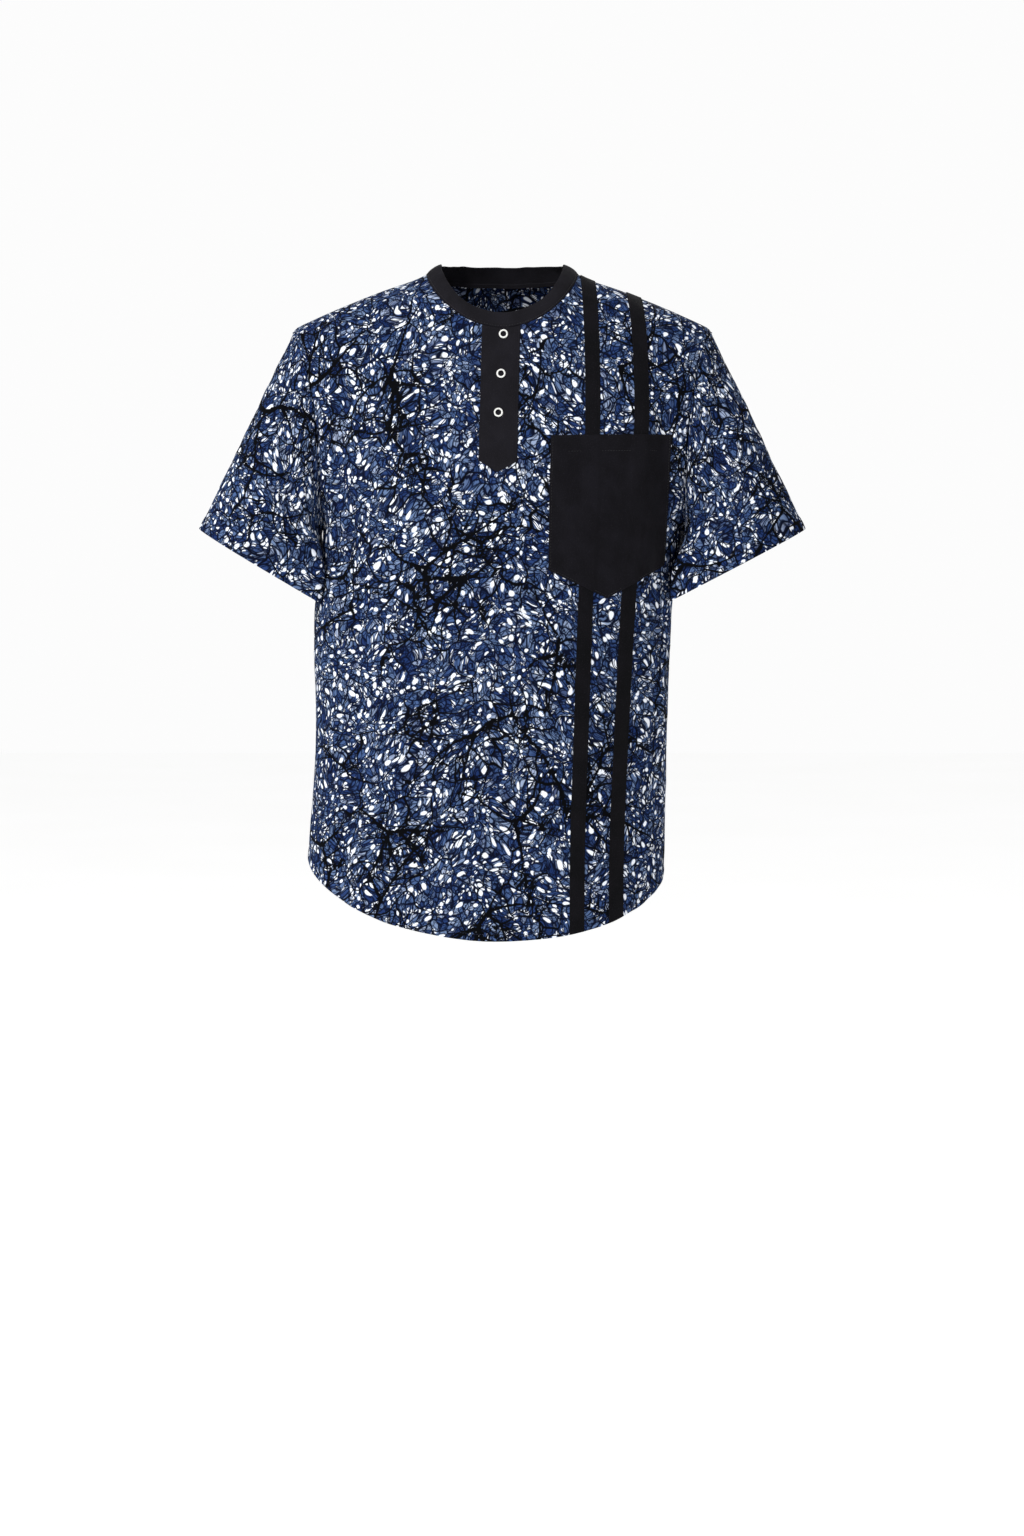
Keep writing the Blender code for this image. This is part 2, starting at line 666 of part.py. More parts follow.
def main():
    for item in list(bpy.data.objects):
        bpy.data.objects.remove(item, do_unlink=True)
    home = bpy.data.collections.new("print_shirt")
    cutters = bpy.data.collections.new("outlines")
    bpy.context.scene.collection.children.link(home)
    bpy.context.scene.collection.children.link(cutters)

    front, front_out = panel_grid(-1)
    back, back_out = panel_grid(1)
    front_in = front - front_out * WALL
    back_in = back - back_out * WALL
    finish = make_finish("front_cloth", PRINT_BLUE, 0.85)
    wall_object("front", front, front_in, False, False, finish, home)
    finish = make_finish("back_cloth", PRINT_BLUE, 0.85)
    wall_object("back", back, back_in, False, True, finish, home)

    for name, hand, column in (("sleeve_right", -1, 0), ("sleeve_left", 1, -1)):
        finish = make_finish(name + "_cloth", PRINT_BLUE, 0.85)
        make_sleeve(name, hand, armhole_loop(front, back, column), finish, home)

    finish = make_finish("neckband_cloth", TRIM_BLACK, 0.9)
    make_neckband(neck_loops(front, back), neck_loops(front_in, back_in), finish, home)

    finish = make_finish("placket_cloth", TRIM_BLACK, 0.9)
    make_trim("placket", front, front_out, SEAM_GAP, TRIM_WALL, placket_outline(),
              finish, home, cutters)
    for name, table in STRIPS.items():
        finish = make_finish(name + "_cloth", TRIM_BLACK, 0.9)
        make_trim(name, front, front_out, SEAM_GAP, TRIM_WALL, strip_outline(table),
                  finish, home, cutters)
    finish = make_finish("pocket_cloth", TRIM_BLACK, 0.9)
    make_trim("pocket", front, front_out, 2 * SEAM_GAP + TRIM_WALL, TRIM_WALL,
              POCKET_OUTLINE, finish, home, cutters)

    rows, columns = front.shape[:2]
    faces = [face for face in wall_faces(rows - 1, columns - 1, False)
             if max(face) < rows * columns]
    tree = BVHTree.FromPolygons([tuple(p) for p in front.reshape(-1, 3)], faces)
    for row in SNAPS:
        finish = make_finish(row["name"] + "_enamel", SNAP_WHITE, 0.35)
        make_snap(row["name"], tree, row["across"], row["height"], 2 * SEAM_GAP + TRIM_WALL, finish, home)


main()
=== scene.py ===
import json
import math
import random
from functools import partial

import bpy
import numpy as np
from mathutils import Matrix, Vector
from mathutils.kdtree import KDTree

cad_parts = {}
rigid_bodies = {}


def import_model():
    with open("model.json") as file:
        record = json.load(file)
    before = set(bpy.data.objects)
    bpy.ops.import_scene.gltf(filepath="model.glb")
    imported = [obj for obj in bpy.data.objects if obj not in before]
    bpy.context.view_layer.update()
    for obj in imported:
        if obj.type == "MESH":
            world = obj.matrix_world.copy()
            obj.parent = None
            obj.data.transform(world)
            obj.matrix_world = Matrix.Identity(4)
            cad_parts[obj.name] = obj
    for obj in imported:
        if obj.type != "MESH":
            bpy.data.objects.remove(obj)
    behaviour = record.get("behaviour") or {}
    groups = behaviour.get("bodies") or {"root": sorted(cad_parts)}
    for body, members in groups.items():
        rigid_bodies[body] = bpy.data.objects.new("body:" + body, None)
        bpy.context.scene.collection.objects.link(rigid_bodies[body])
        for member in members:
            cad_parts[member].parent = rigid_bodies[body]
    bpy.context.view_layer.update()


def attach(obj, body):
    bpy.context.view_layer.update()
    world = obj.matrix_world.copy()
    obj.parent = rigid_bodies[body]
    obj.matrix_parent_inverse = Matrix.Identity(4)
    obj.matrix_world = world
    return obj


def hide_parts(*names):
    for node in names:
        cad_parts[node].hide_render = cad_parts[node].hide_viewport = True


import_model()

MM = 0.001
QUARTER = math.pi / 2

# Trunk, as level sections of the worn shirt: half width, how far the front and the back
# stand off the middle, and how far the middle leans to +X.
SECTIONS = dict(
    height=[-0.770, -0.670, -0.530, -0.380, -0.290, -0.230, -0.170, -0.120, -0.060, 0.000, 0.060],
    half=[0.2060, 0.2050, 0.2015, 0.2045, 0.2050, 0.2205, 0.2360, 0.2510, 0.2620, 0.2620, 0.2620],
    front=[0.125, 0.126, 0.127, 0.127, 0.124, 0.120, 0.114, 0.107, 0.0955, 0.084, 0.072],
    back=[0.119, 0.117, 0.113, 0.113, 0.117, 0.119, 0.116, 0.109, 0.094, 0.076, 0.062],
    lean=[-0.0240, -0.0190, -0.0130, -0.0105, 0, 0, 0, 0, 0, 0, 0],
)
SQUARENESS = 2.3
DEPTH_SHARE = 0.6
SEAM_SHIFT = 0.0002

# Shoulder ridge: its height and the radius of the turn over it, away from the middle
RIDGE_HALF = 0.262
RIDGE = dict(
    across=[0.0000, 0.0400, 0.0866, 0.1370, 0.1850, 0.2345, 0.2620],
    height=[0.0550, 0.0360, 0.0010, -0.0182, -0.0375, -0.0595, -0.0740],
    turn=[0.125, 0.112, 0.092, 0.072, 0.058, 0.048, 0.046],
)
SEAM_FORWARD = 0.012

# Armholes, neckline and hem
UNDERARM_Z = -0.290
TIP_X = 0.2345
TIP_Z = -0.060
ARMHOLE_CURVE = 3.0
ARMHOLE_START = 0.8
ARMHOLE_ROUNDS = 30
NECK_HALF = 0.0866
NECK_FRONT_DROP = 0.0655
NECK_BACK_RISE = -0.0040
NECK_CURVE = 1.5
HEM_SIDE_Z = -0.6695
HEM_DROP = 0.0765
HEM_CURVE = 1.2
HEM_TILT = -0.0110

# The fine grids have this many rows and columns in each row and column of the solids
SIDE_ROWS = 13
ARMHOLE_ROWS = 14
SHOULDER_COLUMNS = 8
NECK_COLUMNS = 14
FINE = 8
FINE_ACROSS = 6
ROWS = SIDE_ROWS + ARMHOLE_ROWS
COLUMNS = 2 * SHOULDER_COLUMNS + NECK_COLUMNS

# More rows and columns lie beside the hem's edge and stitches, and beside the seams
HEM_MARKS = [0.03, 0.08, 0.29, 0.33, 0.37]
TOP_MARKS = [ROWS - 0.07, ROWS - 0.025]
SIDE_MARKS = [0.05, 0.1, COLUMNS - 0.1, COLUMNS - 0.05]

# Thickness of the print cloth
CLOTH = 0.0007

# Folds in the solids: soft troughs along a line, side -1 in front and 1 behind.
# The second group is finer and only here. Columns: side, then in millimetres top x,
# top z, bottom x, bottom z, half width and depth (a negative depth is a ridge).
FOLDS = [
    (-1, -186, -105, -176, -370, 17, 7),
    (-1, -158, -330, -170, -560, 24, 4.5),
    (-1, -70, -420, -85, -760, 30, 4),
    (-1, 192, -110, 181, -390, 15, 6.5),
    (-1, 150, -430, 146, -700, 26, 4.5),
    (-1, 20, -480, 30, -760, 28, 3.5),
    (1, -184, -120, -168, -400, 17, 6.5),
    (1, 186, -110, 166, -420, 16, 7),
    (1, -95, -280, -105, -760, 30, 6),
    (1, 75, -330, 68, -760, 28, 5.5),
    (1, -10, -420, -18, -760, 22, 4),
]
CREASES = [
    (-1, -203, -300, -150, -420, 8, 2.2),
    (-1, -200, -318, -175, -470, 7, -1.8),
    (-1, 196, -300, 150, -400, 8, 2),
    (-1, 190, -330, 178, -500, 7, -2),
    (-1, 181, -395, 172, -520, 6, 2.2),
    (-1, -150, -75, -172, -240, 12, 2),
    (-1, 165, -80, 180, -210, 11, 1.8),
    (-1, -60, -90, -105, -210, 15, 1.2),
    (-1, -120, -480, -128, -740, 14, -2),
    (-1, -30, -560, -26, -770, 16, -1.6),
    (-1, 105, -420, 98, -640, 16, -1.4),
    (-1, -190, -560, -182, -700, 10, 2.2),
    (1, -200, -300, -140, -410, 9, 2.4),
    (1, 200, -300, 135, -430, 9, 2.4),
    (1, -150, -85, -165, -250, 12, 2),
    (1, 150, -85, 168, -260, 12, 2.2),
    (1, -50, -300, -60, -760, 16, -2.2),
    (1, 35, -380, 28, -760, 14, -2),
    (1, 130, -420, 122, -700, 14, -2),
    (1, -145, -480, -150, -720, 13, 2.4),
]
FOLD_FADE = 0.22
FOLD_END = 1.15
FRONT_ROUNDS = 5

# How fast the folds, and the creases and the unevenness, rise from the panels' sides, how
# far from the shoulder seam the unevenness fades, and how far apart points are for a slope
FOLD_RISE = 5
CREASE_RISE = 16
SEAM_FADE = 0.03
TRUNK_STEP = 0.0006
CLOTH_STEP = 0.0015
RIPPLE_SEEDS = {-1: 5, 1: 6}
RIPPLE_WAVES = (0.055, 0.042, 0.033, 0.026, 0.020, 0.016)
RIPPLE_SHARE = 0.009

# Sleeves
CUFF_OUTER = (0.3465, -0.2870)
CUFF_INNER_Z = -0.3640
CUFF_CLEARANCE = 0.0040
SLEEVE_GAP = 0.0006
SIDE_CLEARANCE = 0.0027
SIDE_EASE = 0.6
SIDE_EASE_DROP = 0.040
GUARD_RISE = 0.030
WRAP_START = 90
WRAP_SPAN = 45
WRAP_RISE = 0.010
WRAP_DROP = 0.030
CUFF_HALF_DEPTH = 0.0650
SLEEVE_RINGS = 11
SLEEVE_MARKS = [0.0, 0.008, 0.02]
CUFF_MARKS = np.array([0.03, 0.06, 0.1, 0.14, 0.22, 0.34, 0.48, 0.62, 0.76, 0.88, 0.95, 0.98, 1.0])
SLEEVE_OUT = np.array([0.975, 0.0, -0.222])
SLEEVE_BULGE = 0.0050
SLEEVE_FADE = 0.2
CUFF_FADE = 0.06
CUFF_LEAST = 0.35
# Columns: angle round from the top line in degrees, share of the way down, slant,
# half width in shares, depth, spread in degrees
SLEEVE_FOLDS = [
    (70, 0.30, 0.34, 0.085, 0.0055, 50),
    (110, 0.55, 0.30, 0.075, 0.0050, 45),
    (-80, 0.35, -0.30, 0.085, 0.0055, 50),
    (-120, 0.62, -0.26, 0.075, 0.0045, 45),
]
SLEEVE_CREASES = [
    (60, 0.52, 0.22, 0.035, -0.0016, 35),
    (95, 0.78, 0.18, 0.040, 0.0018, 35),
    (130, 0.30, 0.30, 0.035, 0.0022, 30),
    (-60, 0.55, -0.24, 0.035, -0.0016, 35),
    (-105, 0.80, -0.20, 0.040, 0.0018, 35),
    (-140, 0.34, -0.28, 0.035, 0.0022, 30),
]


def read_smooth(table, key, column, at):
    """Read a column of a table at many places, on a smooth curve through its rows."""
    place = np.array(table[key], dtype=float)
    value = np.array(table[column], dtype=float)
    at = np.clip(np.asarray(at, dtype=float), place[0], place[-1])
    i = np.clip(np.searchsorted(place, at) - 1, 0, len(place) - 2)
    slope = np.empty_like(value)
    slope[1:-1] = (value[2:] - value[:-2]) / (place[2:] - place[:-2])
    slope[0] = (value[1] - value[0]) / (place[1] - place[0])
    slope[-1] = (value[-1] - value[-2]) / (place[-1] - place[-2])
    run = place[i + 1] - place[i]
    t = (at - place[i]) / run
    return (value[i] * (2 * t**3 - 3 * t**2 + 1) + slope[i] * run * (t**3 - 2 * t**2 + t)
            + value[i + 1] * (3 * t**2 - 2 * t**3) + slope[i + 1] * run * (t**3 - t**2))


def section(column, height):
    return read_smooth(SECTIONS, "height", column, height)


def ridge(column, q):
    return read_smooth(RIDGE, "across", column, RIDGE_HALF * np.abs(np.sin(q * QUARTER)))


def smooth(value):
    value = np.clip(value, 0, 1)
    return value * value * (3 - 2 * value)


def unit(vectors):
    return vectors / np.maximum(np.linalg.norm(vectors, axis=-1, keepdims=True), 1e-12)


def run_along(points):
    """How far along a line of points each one lies."""
    return np.concatenate([[0.0], np.cumsum(np.linalg.norm(np.diff(points, axis=0), axis=1))])


def squared_off(share):
    """Depth of the trunk's rounded section at a share of its half width, both 0 to 1."""
    return np.maximum(1 - share**SQUARENESS, 0.0) ** (1 / SQUARENESS)


def trunk_depth(side, q, z):
    """How far the front (side -1) or the back (side 1) stands off the middle."""
    full = section("front" if side < 0 else "back", z)
    return full * squared_off(np.abs(np.sin(np.asarray(q) * QUARTER)))


def way_down(q, height):
    """How far down the cloth from the ridge a height lies."""
    turn = ridge("turn", q)
    drop = np.maximum(ridge("height", q) - height, 0.0)
    over = turn * np.arccos(np.clip(1 - drop / turn, -1.0, 1.0))
    return np.where(drop < turn, over, turn * QUARTER + drop - turn)


def over_ridge(q, way):
    """The angle turned over the ridge, and the height, at a way down from it."""
    turn = ridge("turn", q)
    angle = np.minimum(way / turn, QUARTER)
    drop = turn * (1 - np.cos(angle)) + np.maximum(way - turn * QUARTER, 0.0)
    return angle, ridge("height", q) - drop


def trunk_point(side, q, way):
    """Points of the trunk at q across, -1 to 1, and a way down from the ridge."""
    q, way = np.broadcast_arrays(np.asarray(q, dtype=float), np.asarray(way, dtype=float))
    angle, z = over_ridge(q, way)
    x = section("lean", z) + section("half", z) * np.sin(q * QUARTER)
    y = side * (trunk_depth(side, q, z) * np.sin(angle) + SEAM_SHIFT)
    return np.stack([x, y, z], axis=-1)


def seam_way(side, q):
    """The way down at which the shoulder seam lies, in front of the ridge."""
    depth = trunk_depth(side, q, ridge("height", q))
    return -side * ridge("turn", q) * np.arcsin(SEAM_FORWARD / np.maximum(depth, SEAM_FORWARD))


def armhole_q(way):
    """Where across the trunk the armhole lies, at ways down from the ridge."""
    under_x = float(section("half", UNDERARM_Z))
    q = np.full_like(np.asarray(way, dtype=float), ARMHOLE_START)
    for _ in range(ARMHOLE_ROUNDS):
        z = trunk_point(1, q, way)[..., 2]
        rise = np.maximum(z - UNDERARM_Z, 0.0) / (TIP_Z - UNDERARM_Z)
        x = under_x + (TIP_X - under_x) * rise**ARMHOLE_CURVE
        q = np.arcsin(np.minimum(x / section("half", z), 1.0)) / QUARTER
    return q


UNDER_WAY = float(way_down(1.0, UNDERARM_Z))
ARMHOLE_WAYS = np.linspace(0, UNDER_WAY, 200)
ARMHOLE_QS = armhole_q(ARMHOLE_WAYS)
NECK_Q = math.asin(NECK_HALF / RIDGE_HALF) / QUARTER


def side_edge(side, hand, rows):
    """The side seam, then the armhole, from the hem up, as (q, way) at row numbers."""
    hem = float(way_down(1.0, HEM_SIDE_Z + hand * HEM_TILT))
    top = float(seam_way(side, float(armhole_q(np.array(0.0)))))
    ways = UNDER_WAY + (top - UNDER_WAY) * np.linspace(0, 1, 241) ** 2
    qs = armhole_q(np.abs(ways))
    qs[0] = 1.0
    run = run_along(trunk_point(side, qs, ways))
    mark = np.clip((rows - SIDE_ROWS) / ARMHOLE_ROWS, 0, 1) * run[-1]
    on_side = rows <= SIDE_ROWS
    q = np.where(on_side, 1.0, np.interp(mark, run, qs))
    seam = hem + (UNDER_WAY - hem) * rows / SIDE_ROWS
    return hand * q, np.where(on_side, seam, np.interp(mark, run, ways))


def neckline_height(side, x):
    """Height of the neckline, in front or behind, at places across."""
    point_z = trunk_point(side, NECK_Q, seam_way(side, NECK_Q))[2]
    change = -NECK_FRONT_DROP if side < 0 else NECK_BACK_RISE
    return point_z + change * np.maximum(1 - (x / NECK_HALF) ** 2, 0.0) ** (NECK_CURVE / 2)


def top_marks(side, tip_q, columns):
    """Shoulder, neckline and shoulder, from -X to +X, as (q, way) at column numbers."""
    from_end = np.minimum(columns, COLUMNS - columns)
    hand = np.where(columns < COLUMNS / 2, -1.0, 1.0)
    shoulder = tip_q + (NECK_Q - tip_q) * np.clip(from_end / SHOULDER_COLUMNS, 0, 1)
    angle = math.pi * np.clip((columns - SHOULDER_COLUMNS) / NECK_COLUMNS, 0, 1)
    across = -NECK_HALF * np.cos(angle)
    neck = np.arcsin(across / RIDGE_HALF) / QUARTER
    neck_way = way_down(neck, neckline_height(side, across))
    on_shoulder = from_end <= SHOULDER_COLUMNS
    q = np.where(on_shoulder, shoulder * hand, neck)
    return q, np.where(on_shoulder, seam_way(side, shoulder), neck_way)


def top_edge(side, tip_q, columns):
    """The same line, with the neckline's first and last column straight over the shoulder."""
    low, high = SHOULDER_COLUMNS, COLUMNS - SHOULDER_COLUMNS
    ends = np.array([low, low + 1, high - 1, high])
    straight = [np.interp(columns, ends, mark) for mark in top_marks(side, tip_q, ends)]
    from_middle = np.abs(columns - COLUMNS / 2)
    over_shoulder = (from_middle > NECK_COLUMNS / 2 - 1) & (from_middle < NECK_COLUMNS / 2)
    return np.where(over_shoulder, straight, top_marks(side, tip_q, columns))


def hem_height(q):
    angle = q * QUARTER
    drop = HEM_DROP * np.maximum(np.cos(angle), 0.0) ** HEM_CURVE
    return HEM_SIDE_Z - drop + HEM_TILT * np.sin(angle)


def trough(folds, side, x, z):
    """How deep the folds press the cloth in at places seen from the front."""
    total = np.zeros_like(x)
    for row_side, *row in folds:
        if row_side != side:
            continue
        top_x, top_z, low_x, low_z, half, depth = np.array(row) * MM
        line = np.array([low_x - top_x, low_z - top_z])
        length = np.hypot(*line)
        along = ((x - top_x) * line[0] + (z - top_z) * line[1]) / length**2
        across = ((x - top_x) * line[1] - (z - top_z) * line[0]) / length
        ease = smooth(along / FOLD_FADE) * smooth((FOLD_END - along) / FOLD_FADE)
        total += depth * ease * np.exp(-((across / half) ** 2))
    return total


def ripple(x, y, z, seed):
    """Small soft unevenness of hanging cloth, from seeded waves, longer down than across."""
    rng = np.random.default_rng(seed)
    total = np.zeros_like(x)
    for wave in RIPPLE_WAVES:
        tilt = rng.uniform(-0.5, 0.5)
        phase = rng.uniform(0, 2 * math.pi, 3)
        stretch = rng.uniform(1.6, 3.2)
        u = (x + tilt * z + 0.35 * y) * 2 * math.pi / wave
        v = z * 2 * math.pi / (wave * stretch)
        bend = 1.2 * np.sin(v * 0.6 + phase[2])
        total += wave * RIPPLE_SHARE * np.sin(u + bend + phase[0]) * np.sin(v + phase[1])
    return total


def slope_normals(surface, side, q, way, step):
    """Unit normals of a surface at (q, way), from its points a step away on each side."""
    high = surface(side, np.minimum(q + step, 1.0), way)
    low = surface(side, np.maximum(q - step, -1.0), way)
    along = surface(side, q, way - step) - surface(side, q, way + step)
    return unit(np.cross(high - low, along) * -side)


def cloth_point(side, q, way):
    """Points of the trunk with its folds, creases and small unevenness pressed in."""
    q, way = np.broadcast_arrays(np.asarray(q, dtype=float), np.asarray(way, dtype=float))
    base = trunk_point(side, q, way)
    x, y, z = base[..., 0], base[..., 1], base[..., 2]
    by_armhole = np.interp(np.abs(way), ARMHOLE_WAYS, ARMHOLE_QS)
    edge = np.where(np.abs(way) < UNDER_WAY, by_armhole, 1.0)
    inside = np.maximum(1 - np.abs(q) / edge, 0.0)
    narrow = np.minimum(inside * CREASE_RISE, 1.0)
    below_seam = np.clip((way - seam_way(side, q)) / SEAM_FADE, 0, 1)
    depth = trough(FOLDS, side, x, z) * np.minimum(inside * FOLD_RISE, 1.0)
    depth = depth + trough(CREASES, side, x, z) * narrow
    depth = depth + ripple(x, y, z, RIPPLE_SEEDS[side]) * narrow * below_seam
    return base - slope_normals(trunk_point, side, q, way, TRUNK_STEP) * depth[..., None]


def cloth_surface(side, q, way):
    """Points of the folded trunk and their unit normals."""
    return cloth_point(side, q, way), slope_normals(cloth_point, side, q, way, CLOTH_STEP)


def arc_across(q):
    """Length of the trunk's section from the middle out to q, in half widths."""
    angle = np.linspace(0, QUARTER, 400)
    sine = np.sin(angle)
    run = run_along(np.stack([sine, DEPTH_SHARE * squared_off(sine)], axis=-1))
    return np.sign(q) * np.interp(np.abs(q) * QUARTER, angle, run)


def print_place(q, way):
    """Where a place of the trunk lies on the flat print, in metres."""
    across = arc_across(q) * section("half", over_ridge(q, way)[1])
    return np.stack([across, ridge("height", q) - way], axis=-1)


def on_front(x, z):
    """(q, way) of places on the folded front, given as seen from the front."""
    plain_x, plain_z = x, z
    for _ in range(FRONT_ROUNDS):
        sine = (plain_x - section("lean", plain_z)) / section("half", plain_z)
        q = np.arcsin(np.clip(sine, -1, 1)) / QUARTER
        way = way_down(q, plain_z)
        found = cloth_point(-1, q, way)
        plain_x = plain_x + x - found[..., 0]
        plain_z = plain_z + z - found[..., 2]
    return q, way


def blend_edges(low, high, left, right, t, s):
    """A grid of pairs between four edges, each an array of pairs; t runs up and s across."""
    t = t[:, None, None]
    s = s[None, :, None]
    return ((1 - t) * low[None] + t * high[None] + (1 - s) * left[:, None] + s * right[:, None]
            - (1 - t) * ((1 - s) * low[0] + s * low[-1]) - t * ((1 - s) * high[0] + s * high[-1]))


def panel_grid(side):
    """Points, (q, way) and row and column numbers of the front or the back."""
    rows = np.union1d(np.linspace(0, ROWS, ROWS * FINE + 1), HEM_MARKS + TOP_MARKS)
    columns = np.union1d(np.linspace(0, COLUMNS, COLUMNS * FINE_ACROSS + 1), SIDE_MARKS)
    left = np.stack(side_edge(side, -1, rows), axis=-1)
    right = np.stack(side_edge(side, 1, rows), axis=-1)
    hem_q = -1 + 2 * columns / COLUMNS
    hem = np.stack([hem_q, way_down(hem_q, hem_height(hem_q))], axis=-1)
    top = np.stack(top_edge(side, right[-1, 0], columns), axis=-1)
    grid = blend_edges(hem, top, left, right, rows / ROWS, columns / COLUMNS)
    q, way = grid[..., 0], grid[..., 1]
    return cloth_point(side, q, way), q, way, rows, columns


def shell_quads(at, inner, closed):
    """Quads of a shell between two grids; at numbers the outer one, plus inner the other."""
    if closed:
        at = np.hstack([at, at[:, :1]]) if inner else at
    low, high = at[:-1], at[1:]
    outside = np.stack([low[:, :-1], low[:, 1:], high[:, 1:], high[:, :-1]], axis=-1)
    outside = outside.reshape(-1, 4)
    rims = [at[0, ::-1], at[-1]] if closed else [at[0, ::-1], at[-1], at[:, 0], at[::-1, -1]]
    rims = [np.stack([a[:-1], a[1:], inner + a[1:], inner + a[:-1]], axis=-1) for a in rims]
    return np.vstack([outside, inner + outside[:, ::-1]] + rims)


# Edges sharper than this many degrees stay sharp
SHARP_CLOTH = 60
SHARP_RING = 40


def add_object(name, data):
    thing = bpy.data.objects.new(name, data)
    bpy.context.scene.collection.objects.link(thing)
    return thing


def add_mesh(name, points, faces, finish, sharp=None):
    """A mesh that is shaded smooth, apart from edges sharper than an angle in degrees."""
    mesh = bpy.data.meshes.new(name)
    mesh.from_pydata(points, [], faces)
    mesh.materials.append(finish)
    mesh.shade_smooth()
    if sharp:
        mesh.set_sharp_from_angle(angle=math.radians(sharp))
    return add_object(name, mesh)


def make_shell(name, outer, inner, flat, veins, finish, closed=False, flip=False):
    """A cloth piece between two grids of points, with its print coordinates in metres."""
    grid = outer.shape[:2]
    count = grid[0] * grid[1]
    faces = shell_quads(np.arange(count).reshape(grid), count, closed)
    corners = shell_quads(np.arange(flat.size // 2).reshape(flat.shape[:2]), 0, closed)
    if flip:
        faces = faces[:, ::-1]
        corners = corners[:, ::-1]
    points = np.vstack([outer.reshape(-1, 3), inner.reshape(-1, 3)])
    piece = add_mesh(name, points.tolist(), faces.tolist(), finish, SHARP_CLOTH)
    layer = piece.data.uv_layers.new(name="cloth")
    layer.data.foreach_set("uv", flat.reshape(-1, 2)[corners.ravel()].ravel())
    if veins is not None:
        store = piece.data.attributes.new("vein", "FLOAT_VECTOR", "CORNER")
        store.data.foreach_set("vector", veins.reshape(-1, 3)[corners.ravel()].ravel())
    return piece


# Black branching veins of the print, as grown lines in print coordinates. Each level of
# branches has its own chance to fork at a step.
VEIN_STEP = 0.0016
VEIN_SPACING = 0.105
VEIN_HALF = 0.0020
VEIN_THINNEST = 0.0005
VEIN_TAPER = 0.8
VEIN_BEND = 14
VEIN_FAN = 2.1
VEIN_FORKS = (0.085, 0.055, 0.02, 0)


def grow_veins(low, high, seed):
    """Places, headings and half widths along branching lines that fill a region."""
    rng = random.Random(seed)
    marks = []

    def limb(x, y, heading, length, half, level):
        steps = max(int(length / VEIN_STEP), 4)
        bend = rng.uniform(-VEIN_BEND, VEIN_BEND)
        hand = rng.choice((-1, 1))
        for i in range(steps):
            share = i / steps
            bend += rng.gauss(0, 7) - 0.12 * bend
            heading += bend * VEIN_STEP
            x += VEIN_STEP * math.cos(heading)
            y += VEIN_STEP * math.sin(heading)
            width = max(half * (1 - VEIN_TAPER * share), VEIN_THINNEST)
            marks.append((x, y, math.cos(heading), math.sin(heading), width))
            if rng.random() < VEIN_FORKS[level]:
                hand = -hand
                limb(x, y, heading + hand * rng.uniform(0.5, 1.2),
                     length * rng.uniform(0.35, 0.7) * (1.1 - share),
                     width * rng.uniform(0.55, 0.85), level + 1)

    for i in range(int((high[0] - low[0]) / VEIN_SPACING) + 1):
        for j in range(int((high[1] - low[1]) / VEIN_SPACING) + 1):
            x = low[0] + VEIN_SPACING * (i + rng.uniform(0.1, 0.9))
            y = low[1] + VEIN_SPACING * (j + rng.uniform(0.1, 0.9))
            heading = rng.uniform(0, 2 * math.pi)
            strength = rng.uniform(0.55, 1.25)
            for k in range(rng.choice((2, 3, 3))):
                limb(x, y, heading + k * VEIN_FAN + rng.uniform(-0.5, 0.5),
                     rng.uniform(0.060, 0.120) * strength,
                     VEIN_HALF * strength * rng.uniform(0.7, 1.1), 0)
    return np.array(marks)


def vein_field(flat, seed):
    """For each place of the print, in mm: distance off the nearest vein's line, distance
    to its nearest point, and its half width."""
    places = flat.reshape(-1, 2)
    marks = grow_veins(places.min(axis=0), places.max(axis=0), seed)
    tree = KDTree(len(marks))
    for i, mark in enumerate(marks):
        tree.insert((mark[0], mark[1], 0), i)
    tree.balance()
    field = np.empty((len(places), 3))
    for i, (x, y) in enumerate(places):
        _, k, distance = tree.find((x, y, 0))
        mark = marks[k]
        off = (x - mark[0]) * mark[3] - (y - mark[1]) * mark[2]
        field[i] = (off, distance, mark[4])
    return field.reshape(flat.shape[:2] + (3,)) / MM


# Turned hems: a second layer is folded up inside and sewn
HEM_WIDTH = 0.0090
CUFF_HEM = 0.0170
HEM_SEWN = 0.0078
CUFF_SEWN = 0.0155
HEM_STEP = 0.0004
HEM_INNER = 0.0009
HEM_EASE = 0.0012
EDGE_ROUND = 0.0006
EDGE_REACH = 0.0005
STITCH_SINK = 0.0005
STITCH_REACH = 0.0009
PUCKER = 0.0004
# Columns: share of the height, length and start
PUCKER_WAVES = ((0.35, 0.0031, 0.0), (0.45, 0.0052, 1.0), (0.3, 0.0013, 0.0))

# Seams: the cloth rolls in towards them, and the allowances lie behind the side seams
SEAM_ROLL = 0.0008
SEAM_REACH = 0.0016
COLUMN_WIDTH = 0.018
ROW_HEIGHT = 0.028
ALLOWANCE = 0.0055
ALLOWANCE_START = 0.0004
ALLOWANCE_SINK = 0.0019
ALLOWANCE_THICK = 0.0005
PRINT_SHIFT = np.array([0.173, 0.091])


